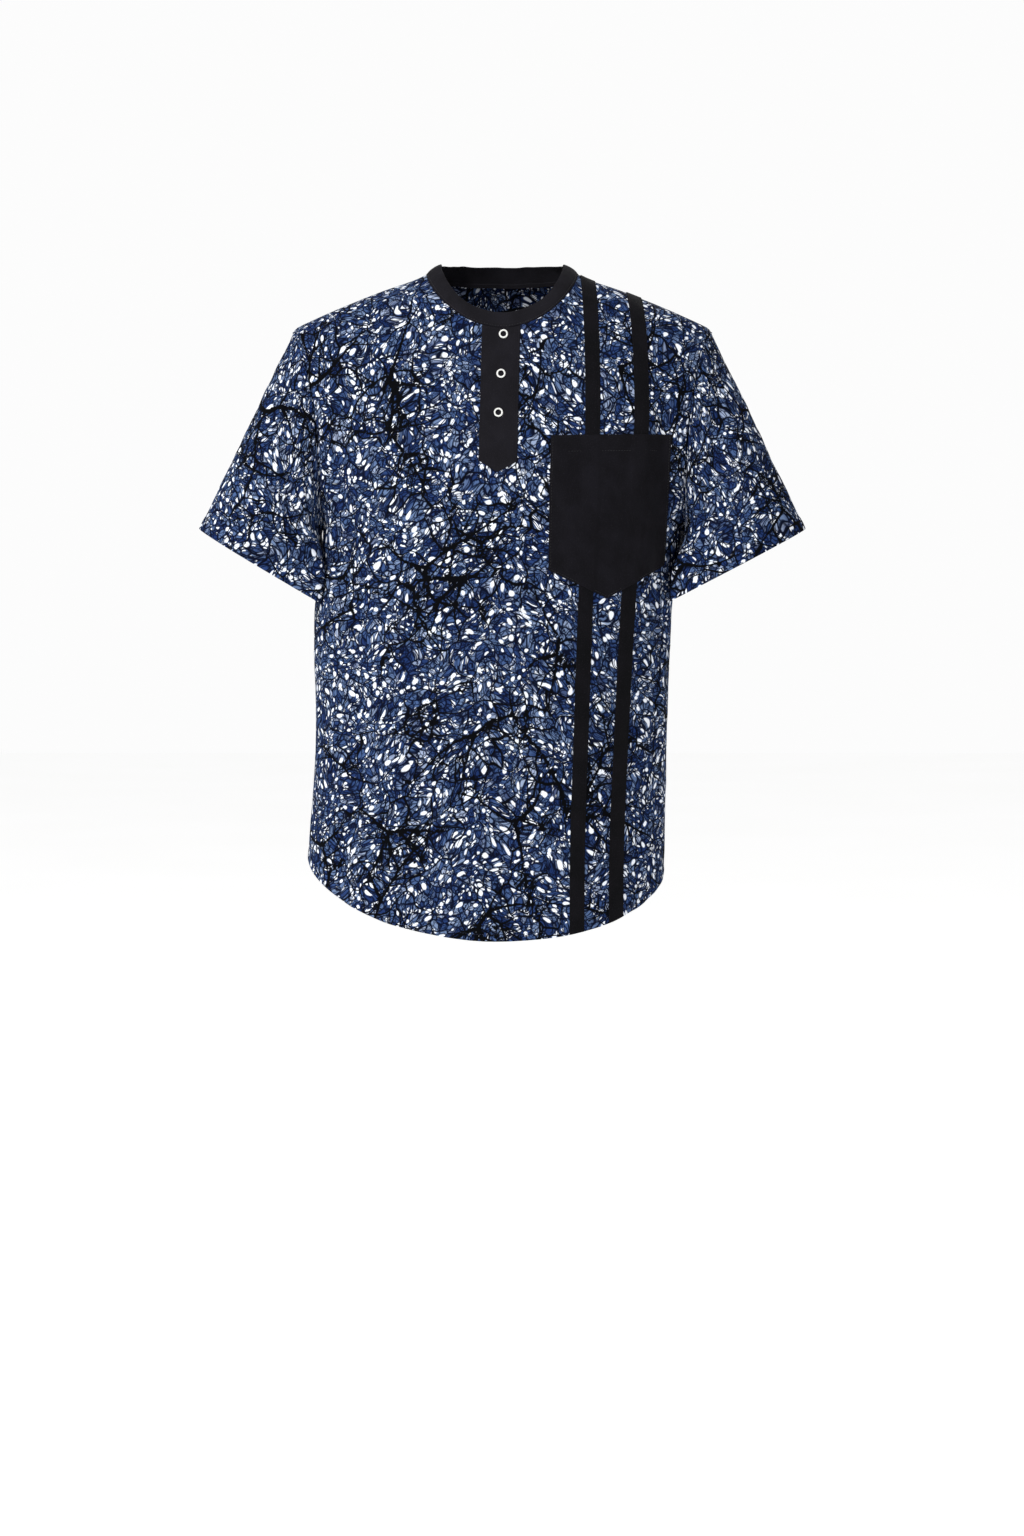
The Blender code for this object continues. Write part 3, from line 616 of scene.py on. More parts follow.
def turned_hem(points, normals, distance, width, along):
    """Outer and inner points of cloth whose edge is turned up and sewn."""
    layer = smooth((width - distance) / HEM_EASE)
    sewn = np.exp(-(((distance - width + HEM_EASE) / STITCH_REACH) ** 2))
    waves = sum(size * np.sin(along / length + start) for size, length, start in PUCKER_WAVES)
    inside = smooth(1 - np.abs(distance - 0.5 * width) / (0.5 * width))
    edge = EDGE_ROUND * np.exp(-distance / EDGE_REACH)
    lift = layer * HEM_STEP - sewn * STITCH_SINK + waves * inside * PUCKER - edge
    outer = points + normals * lift[..., None]
    return outer, points - normals * (CLOTH + layer * HEM_INNER - edge)[..., None]


def roll_seam(outer, inner, normals, away):
    """Both faces of the cloth, pressed in close to a seam."""
    roll = normals * (np.exp(-((away / SEAM_REACH) ** 2)) * SEAM_ROLL)[..., None]
    return outer - roll, inner - roll


def line_beside_edge(points, normals, distance, away):
    """The line over cloth at one distance from its edge, with its normals."""
    line = []
    for k in range(points.shape[1]):
        order = np.argsort(distance[:, k])
        at = distance[order, k]
        line.append([np.interp(away, at, part[order, k, i])
                     for part in (points, normals) for i in range(3)])
    line = np.array(line)
    return line[:, :3], unit(line[:, 3:])


def close_line(points, normals):
    return np.vstack([points, points[:1]]), np.vstack([normals, normals[:1]])


def close_loop(first, second):
    """A loop of two lines that run round it one after the other, joined half way."""
    start, turn = (first[0] + second[-1]) / 2, (first[-1] + second[0]) / 2
    return np.vstack([start[None], first[1:-1], turn[None], second[1:-1]])


def add_allowances(points, normals, grids):
    """Grids with a seam allowance beyond each side, turned in behind what it is sewn to."""
    for end, near in ((0, 1), (-1, -2)):
        away = unit(points[:, end] - points[:, near])
        turned = points[:, end] - normals[:, end] * ALLOWANCE_SINK
        rim = np.stack([turned + away * ALLOWANCE_START, turned + away * ALLOWANCE], axis=1)
        under = rim - normals[:, [end, end]] * ALLOWANCE_THICK
        flat, veins = (grid[:, [end, end]] for grid in grids[2:])
        more = [rim, under, flat + np.array([0.0, 0.0005]), veins]
        if end:
            grids = [np.concatenate([a, b], axis=1) for a, b in zip(grids, more)]
        else:
            grids = [np.concatenate([b[:, ::-1], a], axis=1) for a, b in zip(grids, more)]
    return grids


def build_panel(name, side, seed, finish):
    """The front or the back, its plain points for what is sewn to it, and its hem's line."""
    points, q, way, rows, columns = panel_grid(side)
    across, up = np.gradient(points, axis=1), np.gradient(points, axis=0)
    normals = unit(np.cross(across, up) * -side)
    distance = np.maximum(way_down(q, hem_height(q)) - way, 0.0)
    flat = print_place(q, way)
    outer, inner = turned_hem(points, normals, distance, HEM_WIDTH, flat[..., 0])
    from_side = np.minimum(columns, COLUMNS - columns)[None, :] * COLUMN_WIDTH
    from_top = (ROWS - rows)[:, None] * ROW_HEIGHT
    outer, inner = roll_seam(outer, inner, normals, np.minimum(from_side, from_top))
    line = line_beside_edge(outer, normals, distance, HEM_SEWN)
    grids = [outer, inner, flat + PRINT_SHIFT * seed, vein_field(flat, seed)]
    if side < 0:
        grids = add_allowances(points, normals, grids)
    return make_shell(name, *grids, finish, flip=side > 0), points, rows, columns, line


def sleeve_depth(table, around, t):
    total = np.zeros_like(t)
    for middle, at, slant, half, depth, spread in table:
        away = (around - middle + 180) % 360 - 180
        level = t - at - slant * away / 90
        total += depth * np.exp(-((level / half) ** 2) - (away / spread) ** 2)
    return total


def ring_normals(rings, hand):
    around = np.roll(rings, -1, axis=1) - np.roll(rings, 1, axis=1)
    return unit(np.cross(around, np.gradient(rings, axis=0)) * hand)


def trunk_side(hand, y, z):
    """How far out the trunk's side lies, level with points beside it."""
    depth = np.where(y < 0, section("front", z), section("back", z))
    spread = SIDE_EASE + (1 - SIDE_EASE) * smooth((UNDERARM_Z - z) / SIDE_EASE_DROP)
    half = section("half", np.minimum(z, UNDERARM_Z))
    return section("lean", z) * hand + half * squared_off(spread * np.abs(y) / depth)


def sleeve_end(hand, around):
    """Points round the cuff at angles from its top line, positive to the front, and its slope."""
    inner_x = abs(section("lean", CUFF_INNER_Z) * hand + section("half", CUFF_INNER_Z))
    top = np.array([hand * CUFF_OUTER[0], 0.0, CUFF_OUTER[1]])
    low = np.array([hand * (inner_x + CUFF_CLEARANCE), 0.0, CUFF_INNER_Z])
    middle = (top + low) / 2
    end = middle + (top - middle) * np.cos(around)[:, None]
    end[:, 1] -= CUFF_HALF_DEPTH * np.sin(around)
    return end, (top[2] - low[2]) / abs(top[0] - low[0])


def fold_sleeve(rings, hand, degrees, t, seed):
    """Rings with folds, creases and small unevenness pressed in, none by the armhole."""
    from_seam = np.minimum(t / SLEEVE_FADE, 1.0)
    from_both = from_seam * np.minimum((1 - t) / CUFF_FADE + CUFF_LEAST, 1.0)
    depth = sleeve_depth(SLEEVE_FOLDS, degrees, t) * from_seam
    depth += sleeve_depth(SLEEVE_CREASES, degrees, t) * from_both
    depth += ripple(rings[..., 0], rings[..., 1], rings[..., 2], seed) * from_both
    return rings - ring_normals(rings, hand) * depth[..., None]


def clear_trunk(rings, hand, degrees, t, slope):
    """Rings with the sleeve's underside laid along the trunk's side, just clear of it."""
    x, y, z = rings[..., 0] * hand, rings[..., 1], rings[..., 2]
    reach = trunk_side(hand, y, z) + SIDE_CLEARANCE
    wrap = smooth((np.abs(degrees) - WRAP_START) / WRAP_SPAN)
    wrap = wrap * smooth((UNDERARM_Z + WRAP_RISE - z) / WRAP_DROP)
    move = (reach - x) * np.where(t > 0, wrap, 0.0)
    close = (z < UNDERARM_Z + GUARD_RISE) & (t > 0)
    move = np.where(close, np.maximum(move, reach - x), move)
    x = x + move
    z = z + np.minimum(move, 0.0) * slope * t
    reach = trunk_side(hand, y, z) + SIDE_CLEARANCE
    return np.stack([np.where(close, np.maximum(x, reach), x) * hand, y, z], axis=-1)


def build_sleeve(name, hand, loop, seed, finish):
    """A sleeve from its armhole loop, which starts at the underarm and goes up the back."""
    half = len(loop) // 2
    run = run_along(np.vstack([loop, loop[:1]]))
    behind = -math.pi + math.pi * run[:-1] / run[half]
    ahead = math.pi * (run[:-1] - run[half]) / (run[-1] - run[half])
    around = np.where(np.arange(len(loop)) <= half, behind, ahead)
    end, slope = sleeve_end(hand, around)
    start = loop + SLEEVE_OUT * np.array([hand, 1, 1]) * SLEEVE_GAP
    length = np.linalg.norm(end - start, axis=1)
    upper = np.concatenate([SLEEVE_MARKS, np.linspace(0.045, 1.0, SLEEVE_RINGS * FINE)])
    turned = CUFF_HEM / length
    t = np.vstack([upper[:, None] * (1 - turned), 1 - turned + CUFF_MARKS[:, None] * turned])
    rings = start + (end - start) * t[..., None]
    rings[..., 1] -= SLEEVE_BULGE * np.sin(math.pi * t) * np.sin(around)
    degrees = np.degrees(around)[None, :]
    rings = fold_sleeve(rings, hand, degrees, t, seed)
    rings = clear_trunk(rings, hand, degrees, t, slope)
    normals = ring_normals(rings, hand)
    steps = np.linalg.norm(np.roll(rings, -1, axis=1) - rings, axis=2)
    round_run = np.hstack([np.zeros((len(t), 1)), np.cumsum(steps, axis=1)])
    round_run -= round_run[:, half:half + 1]
    distance = (1 - t) * length
    flat = np.stack([round_run, np.hstack([distance, distance[:, :1]])], axis=-1)
    outer, inner = turned_hem(rings, normals, distance, CUFF_HEM, round_run[:, :-1])
    outer, inner = roll_seam(outer, inner, normals, t * length)
    piece = make_shell(name, outer, inner, flat + PRINT_SHIFT * seed, vein_field(flat, seed),
                       finish, closed=True, flip=hand < 0)
    return piece, close_line(*line_beside_edge(outer, normals, distance, CUFF_SEWN))


# Neckband: a folded strip that stands on the neckline and leans in
BAND_GAP = 0.0006
BAND_HEIGHT = 0.0205
BAND_THICK = 0.0017
BAND_TURN = 0.0018
BAND_LEAN_SIDE = math.radians(56)
BAND_LEAN_FRONT = math.radians(29)
BAND_LEAN_BACK = math.radians(22)
BAND_CURL_SIDE = math.radians(20)
BAND_CURL_END = math.radians(8)
BAND_EASE = 14
BAND_MARKS = np.array([-0.25, -0.15, -0.03, 0, 0.02, 0.06, 0.1, 0.14, 0.25, 0.4, 0.55, 0.7,
                       0.82, 0.9, 0.94, 0.97, 0.99, 1.0])
BAND_SEWN = 0.1
BAND_SEWN_REACH = 0.03
BAND_TURN_INNER = 0.6
BAND_SINK = 0.0004
BAND_WAVE = 0.0003


def build_neckband(rim, finish):
    """The band on the points round the neckline, and the line of its stitches."""
    around = np.roll(rim, -1, axis=0) - np.roll(rim, 1, axis=0)
    inward = unit(np.stack([-around[:, 1], around[:, 0], np.zeros(len(rim))], axis=-1))
    for _ in range(BAND_EASE):
        inward = unit(np.roll(inward, 1, axis=0) + 2 * inward + np.roll(inward, -1, axis=0))
    facing = inward[:, 1] ** 2
    end = np.where(inward[:, 1] > 0, BAND_LEAN_FRONT, BAND_LEAN_BACK)
    lean = BAND_LEAN_SIDE + (end - BAND_LEAN_SIDE) * facing
    curl = BAND_CURL_SIDE + (BAND_CURL_END - BAND_CURL_SIDE) * facing
    share = BAND_MARKS
    height = BAND_GAP + (BAND_HEIGHT - BAND_GAP) * share
    inside = np.where(share < 0, BAND_TURN, 0.0)
    from_top = np.minimum((1 - share) * BAND_HEIGHT / (BAND_THICK / 2), 1.0)
    rounded = BAND_THICK / 2 * (1 - np.sqrt(1 - (1 - from_top) ** 2))
    sewn = BAND_SINK * np.exp(-(((share - BAND_SEWN) / BAND_SEWN_REACH) ** 2))
    long_way = run_along(np.vstack([rim, rim[:1]]))
    wave = BAND_WAVE * np.sin(long_way[:-1] / 0.006) * np.sin(long_way[:-1] / 0.017 + 1)
    flutter = wave[None, :] * (np.maximum(share * (1 - share), 0.0) * 4)[:, None]
    slope = lean[None, :] + curl[None, :] * (2 * np.maximum(share, 0.0)[:, None] - 1)
    sine, cosine = np.sin(slope)[..., None], np.cos(slope)[..., None]
    up = np.array([0.0, 0.0, 1.0])
    rise = up * cosine + inward * sine
    through = inward * cosine - up * sine
    steps = (rise[1:] + rise[:-1]) / 2 * np.diff(height)[:, None, None]
    base = np.concatenate([rise[:1] * height[0], steps]).cumsum(axis=0) + rim[None]
    outer = base + through * ((rounded + sewn + inside)[:, None] - flutter)[..., None]
    inner_in = BAND_THICK - rounded + inside * BAND_TURN_INNER
    inner = base + through * (inner_in[:, None] - flutter)[..., None]
    flat = np.stack(np.broadcast_arrays(long_way[None, :], height[:, None]), axis=-1)
    piece = make_shell("neckband_cloth", outer, inner, flat, None, finish, closed=True)
    row = int(np.argmin(np.abs(share - BAND_SEWN)))
    return piece, close_line(outer[row], -through[row])


# Trim that lies on the front: how far it stands off it, and its own thickness
TRIM_BASE = 0.0003
TRIM_THICK = 0.0009
TRIM_TOP = TRIM_BASE + TRIM_THICK
TRIM_ROUND = 0.0008
TRIM_LEAST = 0.15
TRIM_SEWN = 0.0022
TRIM_SEWN_REACH = 0.0007
TRIM_SINK = 0.00022
TRIM_TUCK = 0.0004
EDGE_MARKS = np.array([0.0003, 0.0007, 0.0012, 0.0018, 0.0024, 0.0030])
STRIP_HALF = 0.0083
STRIP_LENGTH = 0.75
STRIP_START = 0.4
STRIP_ROUNDS = 12
STRIP_END_GAP = 0.0002
STRIP_HEIGHTS = [-0.780, -0.640, -0.505, -0.367, -0.179, -0.078, 0.020]
STRIPS = dict(
    strip_inner=dict(height=STRIP_HEIGHTS,
                     across=[0.0832, 0.0840, 0.0880, 0.0925, 0.1000, 0.0994, 0.0955]),
    strip_outer=dict(height=STRIP_HEIGHTS,
                     across=[0.1275, 0.1282, 0.1337, 0.1407, 0.1545, 0.1528, 0.1448]),
)
PLACKET_HALF = 0.0213
PLACKET_LENGTH = 0.16
PLACKET_TOP = (-0.0010, -0.030)
PLACKET_END = (-0.0047, -0.2135)
PLACKET_POINT = 0.0125
POCKET_TOP = [(0.0540, -0.1850), (0.1895, -0.1825)]
POCKET_LEFT = [(0.0512, -0.3340), (0.0520, -0.2600), (0.0540, -0.1850)]
POCKET_RIGHT = [(0.1830, -0.3285), (0.1865, -0.2550), (0.1895, -0.1825)]
POCKET_LOW = [(0.0512, -0.3340), (0.1165, -0.3650), (0.1830, -0.3285)]
POCKET_WIDTH = 0.13
POCKET_LENGTH = 0.17
POCKET_SIDE = 0.16
POCKET_HEM = 0.0180
STRIP_RAMP = 0.0022


def lay_on_front(name, q, way, inset, finish, over=0.0):
    """A trim piece on the front, at points so far from its edge, with more room where it
    lies over something."""
    base = np.full_like(q, TRIM_BASE) + over
    points, normals = cloth_surface(-1, q, way)
    rounded = np.sqrt(1 - (1 - np.clip(inset / TRIM_ROUND, 0, 1)) ** 2)
    sewn = TRIM_SINK * np.exp(-(((inset - TRIM_SEWN) / TRIM_SEWN_REACH) ** 2))
    top = base + TRIM_THICK * (TRIM_LEAST + (1 - TRIM_LEAST) * rounded) - sewn
    return make_shell(name, points + normals * top[..., None], points + normals * base[..., None],
                      print_place(q, way), None, finish)


def fine_marks(count, width, corner=0.5):
    """Shares across a piece, closer together by its two edges, with one at a corner."""
    close = EDGE_MARKS / width
    marks = [np.linspace(0, 1, count + 1), close, 1 - close, [corner]]
    return np.unique(np.concatenate(marks).round(6))


def from_ends(shares, length):
    return np.minimum(shares, 1 - shares) * length


def build_strip(name, table, finish):
    s = fine_marks(5, 2 * STRIP_HALF)
    offset = (2 * s - 1) * STRIP_HALF
    t = fine_marks(300, STRIP_LENGTH)[:, None]
    q = np.full((len(t), len(s)), STRIP_START)
    for _ in range(STRIP_ROUNDS):
        low = way_down(q, hem_height(q)) - STRIP_END_GAP
        high = seam_way(-1, q) + TRIM_TUCK
        way = low + (high - low) * t
        found = cloth_point(-1, q, way)
        away = read_smooth(table, "height", "across", found[..., 2]) + offset - found[..., 0]
        q = q + away / (section("half", found[..., 2]) * np.cos(q * QUARTER) * QUARTER)
    inset = np.minimum(from_ends(s, 2 * STRIP_HALF)[None, :], from_ends(t, STRIP_LENGTH))
    return lay_on_front(name, q, way, inset, finish)


def polyline(corners, shares):
    """Points at even shares of the way along a line of corners."""
    corners = np.array(corners)
    run = run_along(corners)
    return np.stack([np.interp(shares * run[-1], run, corners[:, k]) for k in (0, 1)], axis=-1)


def build_pocket(finish):
    low_run = run_along(np.array(POCKET_LOW))
    s = fine_marks(56, POCKET_WIDTH, low_run[1] / low_run[2])
    t = fine_marks(64, POCKET_LENGTH)
    grid = blend_edges(polyline(POCKET_LOW, s), polyline(POCKET_TOP, s),
                       polyline(POCKET_LEFT, t), polyline(POCKET_RIGHT, t), t, s)
    x, z = grid[..., 0], grid[..., 1]
    over = 0.0
    for table in STRIPS.values():
        from_middle = np.abs(x - read_smooth(table, "height", "across", z))
        on_strip = smooth((STRIP_HALF + STRIP_RAMP - from_middle) / STRIP_RAMP)
        over = over + (TRIM_THICK + 0.0001) * on_strip
    inset = np.minimum(from_ends(s, POCKET_WIDTH)[None, :], from_ends(t, POCKET_SIDE)[:, None])
    return lay_on_front("pocket_cloth", *on_front(x, z), inset, finish, over)


def build_placket(finish):
    s = fine_marks(12, 2 * PLACKET_HALF)
    t = fine_marks(80, PLACKET_LENGTH)[:, None]
    top = np.array(PLACKET_TOP)
    end = np.array(PLACKET_END)
    down = (end - top) / np.linalg.norm(end - top)
    aside = np.array([-down[1], down[0]]) * ((2 * s - 1) * PLACKET_HALF)[:, None]
    low = end + aside + down * (PLACKET_POINT * (1 - np.abs(2 * s - 1)))[:, None]
    high = top + aside
    high[:, 1] = neckline_height(-1, high[:, 0]) - TRIM_TUCK
    grid = low[None] + (high - low)[None] * t[..., None]
    inset = np.minimum(from_ends(s, 2 * PLACKET_HALF)[None, :], t * PLACKET_LENGTH)
    return lay_on_front("placket_cloth", *on_front(grid[..., 0], grid[..., 1]), inset, finish)


# Ring snaps on the placket: where each one is, and the rounded profile of its ring
SNAPS = dict(snap_1=(0.0015, -0.0730), snap_2=(-0.0012, -0.1170), snap_3=(-0.0040, -0.1600))
SNAP_SEGMENTS = 48
SNAP_PROFILE = [
    (0.0032, 0.0), (0.0032, 0.00063), (0.0035, 0.00112), (0.00355, 0.001372), (0.00455, 0.0014),
    (0.0043, 0.00119), (0.0049, 0.0007), (0.0051, 0.00014), (0.0051, 0.0),
]


def build_snap(name, x, z, finish):
    """An open ring with a rounded crown."""
    spot, facing = cloth_surface(-1, *on_front(np.array(x), np.array(z)))
    points = []
    faces = []
    size = len(SNAP_PROFILE)
    for i in range(SNAP_SEGMENTS):
        angle = 2 * math.pi * i / SNAP_SEGMENTS
        k = (i + 1) % SNAP_SEGMENTS
        for j, (radius, height) in enumerate(SNAP_PROFILE):
            points.append((radius * math.cos(angle), radius * math.sin(angle), height))
            m = (j + 1) % size
            faces.append((i * size + j, i * size + m, k * size + m, k * size + j))
    ring = add_mesh(name + "_ring", points, faces, finish, SHARP_RING)
    turn = Vector(facing).to_track_quat("Z", "Y").to_matrix().to_4x4()
    turn.translation = Vector(spot + facing * TRIM_TOP)
    ring.data.transform(turn)
    return ring


# Stitches, drawn a little coarser than real so that they show. Columns of the shape: shares
# of the length along and of the radius, and how far it stands off the cloth, in radii.
STITCH_LENGTH = 0.0024
STITCH_PITCH = 0.0031
STITCH_RADIUS = 0.00022
STITCH_SIDES = 6
LINE_STEP = 0.004
STITCH_SHAPE = np.array([(-0.5, 0.15, -0.5), (-0.32, 0.85, 0.35), (0.0, 1.0, 0.6),
                         (0.32, 0.85, 0.35), (0.5, 0.15, -0.5)])


def stitch_run(points, normals):
    """Points and faces of a run of stitches that follows a line over cloth."""
    run = run_along(points)
    count = max(int(run[-1] / STITCH_PITCH), 1)
    middle = (np.arange(count) + 0.5) * run[-1] / count
    at = middle[:, None] + STITCH_SHAPE[:, 0] * STITCH_LENGTH
    place, facing = (np.stack([np.interp(at, run, part[:, k]) for k in range(3)], axis=-1)
                     for part in (points, normals))
    facing = unit(facing)
    aside = np.cross(unit(np.gradient(place, axis=1)), facing)
    place = place + facing * (STITCH_SHAPE[:, 2:] * STITCH_RADIUS)
    turn = (np.arange(STITCH_SIDES) * 2 * math.pi / STITCH_SIDES)[:, None]
    ring = facing[:, :, None] * np.cos(turn) + aside[:, :, None] * np.sin(turn)
    ring = ring * (STITCH_SHAPE[:, 1] * STITCH_RADIUS)[:, None, None]
    at = np.arange(at.size * STITCH_SIDES).reshape(at.shape + (STITCH_SIDES,))
    low, high = at[:, :-1], at[:, 1:]
    sides = [low, np.roll(low, -1, axis=2), np.roll(high, -1, axis=2), high]
    halves = ([0, 1, 2, 3], [0, 3, 4, 5])
    caps = [at[:, -1, half] for half in halves] + [at[:, 0, half[::-1]] for half in halves]
    faces = np.vstack([np.stack(sides, axis=-1).reshape(-1, 4)] + caps)
    return (place[:, :, None] + ring).reshape(-1, 3), faces


def edge_runs(corners, inward):
    """Stitched lines on the front beside straight edges between corners, moved in."""
    corners = np.array(corners)
    middle = corners.mean(axis=0)
    runs = []
    for low, high in zip(corners[:-1], corners[1:]):
        length = np.linalg.norm(high - low)
        edge = (high - low) / length
        side = np.array([-edge[1], edge[0]])
        side = side * np.sign((middle - low) @ side) * inward
        t = np.linspace(0, 1, max(int(length / LINE_STEP), 3))[:, None]
        places = low + side + edge * inward + (high - low - 2 * edge * inward) * t
        points, normals = cloth_surface(-1, *on_front(places[:, 0], places[:, 1]))
        runs.append((points + normals * TRIM_TOP, normals))
    return runs


def linear(code):
    """An sRGB hex colour as linear RGBA."""
    parts = [int(code[i:i + 2], 16) / 255 for i in (0, 2, 4)]
    parts = [c / 12.92 if c <= 0.04045 else ((c + 0.055) / 1.055) ** 2.4 for c in parts]
    return (*parts, 1.0)


def add_node(tree, kind, inputs=None, stops=None, **settings):
    """Add a node. An input is a plain value, a node for its first output in use, or
    (node, output)."""
    node = tree.nodes.new("ShaderNode" + kind)
    for name, value in settings.items():
        setattr(node, name, value)
    for key, value in (inputs or {}).items():
        if isinstance(value, bpy.types.Node):
            value = next(output for output in value.outputs if output.enabled)
        elif isinstance(value, tuple) and isinstance(value[0], bpy.types.Node):
            value = value[0].outputs[value[1]]
        if isinstance(value, bpy.types.NodeSocket):
            tree.links.new(value, node.inputs[key])
        else:
            node.inputs[key].default_value = value
    for i, (place, colour) in enumerate(stops or []):
        row = node.color_ramp.elements[i] if i < 2 else node.color_ramp.elements.new(place)
        row.position = place
        row.color = linear(colour)
    return node


def make_material(name, build, *colours):
    """A material whose nodes come from a function that adds them and returns its shader."""
    material = bpy.data.materials.new(name)
    material.use_nodes = True
    tree = material.node_tree
    tree.nodes.clear()
    shader = build(partial(add_node, tree), *colours)
    add_node(tree, "OutputMaterial", {"Surface": shader})
    return material


# Settings of the prints' flat patterns, whose scale is 1 over a size in millimetres
PER_MM = (1000, 1000, 1000)
NOISE = dict(noise_dimensions="2D")
CELLS = dict(voronoi_dimensions="2D")
EDGES = dict(voronoi_dimensions="2D", feature="DISTANCE_TO_EDGE")


def wax_print_cotton(add):
    """Plain-woven cotton, resist-printed with wax and dyed indigo: matte, with hard-edged cracks,
    pale rounded spots where the wax held, and black branching veins printed over them."""
    uv = add("UVMap", uv_map="cloth")
    mm = add("VectorMath", {0: uv, 1: PER_MM}, operation="MULTIPLY")

    # The wax cracks flow: the print is bent by slow waves of 40 mm and quick ones of 11 mm
    slow = add("TexNoise", {"Vector": mm, "Scale": 1 / 40, "Detail": 1.0}, **NOISE)
    bent = add("VectorMath", {0: (slow, "Color"), 1: (24, 24, 0), 2: mm}, operation="MULTIPLY_ADD")
    quick = add("TexNoise", {"Vector": bent, "Scale": 1 / 11, "Detail": 2.0}, **NOISE)
    flow = add("VectorMath", {0: (quick, "Color"), 1: (5, 5, 0), 2: bent}, operation="MULTIPLY_ADD")

    # In each patch of 30 mm the cracks run one way, and what lies between is long that way
    patch = add("TexVoronoi", {"Vector": bent, "Scale": 1 / 30}, **CELLS)
    patch_pick = add("SeparateColor", {"Color": (patch, "Color")})
    turn = add("Math", {0: patch_pick, 1: math.pi}, operation="MULTIPLY")
    turned = add("VectorRotate", {"Vector": flow, "Angle": turn}, rotation_type="Z_AXIS")
    grain = add("VectorMath", {0: turned, 1: (1, 0.66, 1)}, operation="MULTIPLY")

    # Cells of 6 by 9 mm hold one tone each, from navy to slate, and some zones are all deep
    cell = add("TexVoronoi", {"Vector": grain, "Scale": 1 / 5.9}, **CELLS)
    pick = add("SeparateColor", {"Color": (cell, "Color")})
    tone = add("ValToRGB", {"Fac": pick}, stops=[
        (0.0, "1d2f5e"), (1.0, "9eabc6"), (0.2, "2d4372"), (0.4, "445c89"), (0.62, "596e94"),
        (0.82, "7286a9")])
    zone = add("TexNoise", {"Vector": bent, "Scale": 1 / 22, "Detail": 2.0}, **NOISE)
    deep = add("MapRange", {"Value": zone, "From Min": 0.50, "From Max": 0.66, "To Max": 0.8})

    # White spots: small long ones in clumps, then rounded ones of 5 mm here and there
    clump = add("TexNoise", {"Vector": mm, "Scale": 1 / 18, "Detail": 1.0}, **NOISE)
    need = add("MapRange", {"Value": clump, "From Min": 0.32, "From Max": 0.68,
                            "To Min": 0.86, "To Max": 0.58})
    white = 0.0
    for place, size, least, rim, core in ((grain, 4.2, need, 0.45, 0.37),
                                          (bent, 12, 0.66, 0.26, 0.18)):
        spot = add("TexVoronoi", {"Vector": place, "Scale": 1 / size}, **CELLS)
        pick = add("SeparateColor", {"Color": (spot, "Color")})
        chosen = add("Math", {0: pick, 1: least}, operation="GREATER_THAN")
        reach = add("MapRange", {"Value": (spot, "Distance"), "From Min": rim, "From Max": core})
        whole = add("Math", {0: chosen, 1: reach}, operation="MULTIPLY")
        white = add("Math", {0: white, 1: whole}, operation="MAXIMUM")

    # Cracks: thin navy lines round the cells and through them, and between the patches, but
    # none in a rounded spot, which the loop above left in whole
    edge = add("TexVoronoi", {"Vector": grain, "Scale": 1 / 5.9}, **EDGES)
    fine = add("TexVoronoi", {"Vector": grain, "Scale": 1 / 4.2}, **EDGES)
    join = add("TexVoronoi", {"Vector": bent, "Scale": 1 / 30}, **EDGES)
    stroke = add("TexNoise", {"Vector": grain, "Scale": 1 / 7, "Detail": 1.0}, **NOISE)
    stroke = add("Math", {0: stroke, 1: 0.5}, operation="SUBTRACT")
    stroke = add("Math", {0: stroke}, operation="ABSOLUTE")
    lines = 0.0
    for place, rim, core, most in ((edge, 0.145, 0.065, 1.0), (fine, 0.14, 0.05, 0.85),
                                   (stroke, 0.036, 0.017, 1.0), (join, 0.035, 0.02, 1.0)):
        line = add("MapRange", {"Value": place, "From Min": rim, "From Max": core, "To Max": most})
        lines = add("Math", {0: lines, 1: line}, operation="MAXIMUM")
    lines = add("Math", {0: lines, 1: whole}, operation="SUBTRACT", use_clamp=True)

    # Veins: the stored lines, with a ragged edge, and thin twigs that run off them
    vein = add("Attribute", attribute_name="vein")
    parts = add("SeparateXYZ", {"Vector": (vein, "Vector")})
    ragged = add("TexNoise", {"Vector": mm, "Scale": 1 / 4, "Detail": 2.0}, **NOISE)
    swell = add("Math", {0: ragged, 1: 2.2, 2: -0.05}, operation="MULTIPLY_ADD")
    width = add("Math", {0: (parts, "Z"), 1: swell, 2: 0.2}, operation="MULTIPLY_ADD")
    off = add("Math", {0: (parts, "X")}, operation="ABSOLUTE")
    over = add("Math", {0: off, 1: width}, operation="SUBTRACT")
    on_line = add("MapRange", {"Value": over, "From Min": 0.12, "From Max": -0.12})
    far = add("Math", {0: (parts, "Y"), 1: width}, operation="SUBTRACT")
    near = add("MapRange", {"Value": far, "From Min": 2.8, "From Max": 2.2})
    veins = add("Math", {0: on_line, 1: near}, operation="MULTIPLY")
    twig_width = add("MapRange", {"Value": (parts, "Y"), "From Min": 2.0, "From Max": 30.0,
                                  "To Min": 0.034, "To Max": 0.0})
    twig_over = add("Math", {0: join, 1: twig_width}, operation="SUBTRACT")
    twigs = add("MapRange", {"Value": twig_over, "From Min": 0.01, "From Max": -0.01})
    black = add("Math", {0: veins, 1: twigs}, operation="MAXIMUM")

    # Each layer is printed over the ones before it
    colour = tone
    for layer, code in ((deep, "1b2e5c"), (white, "f1f6ff"), (lines, "0a1024"), (black, "07080b")):
        colour = add("Mix", {"Factor": layer, "A": colour, "B": linear(code)}, data_type="RGBA")

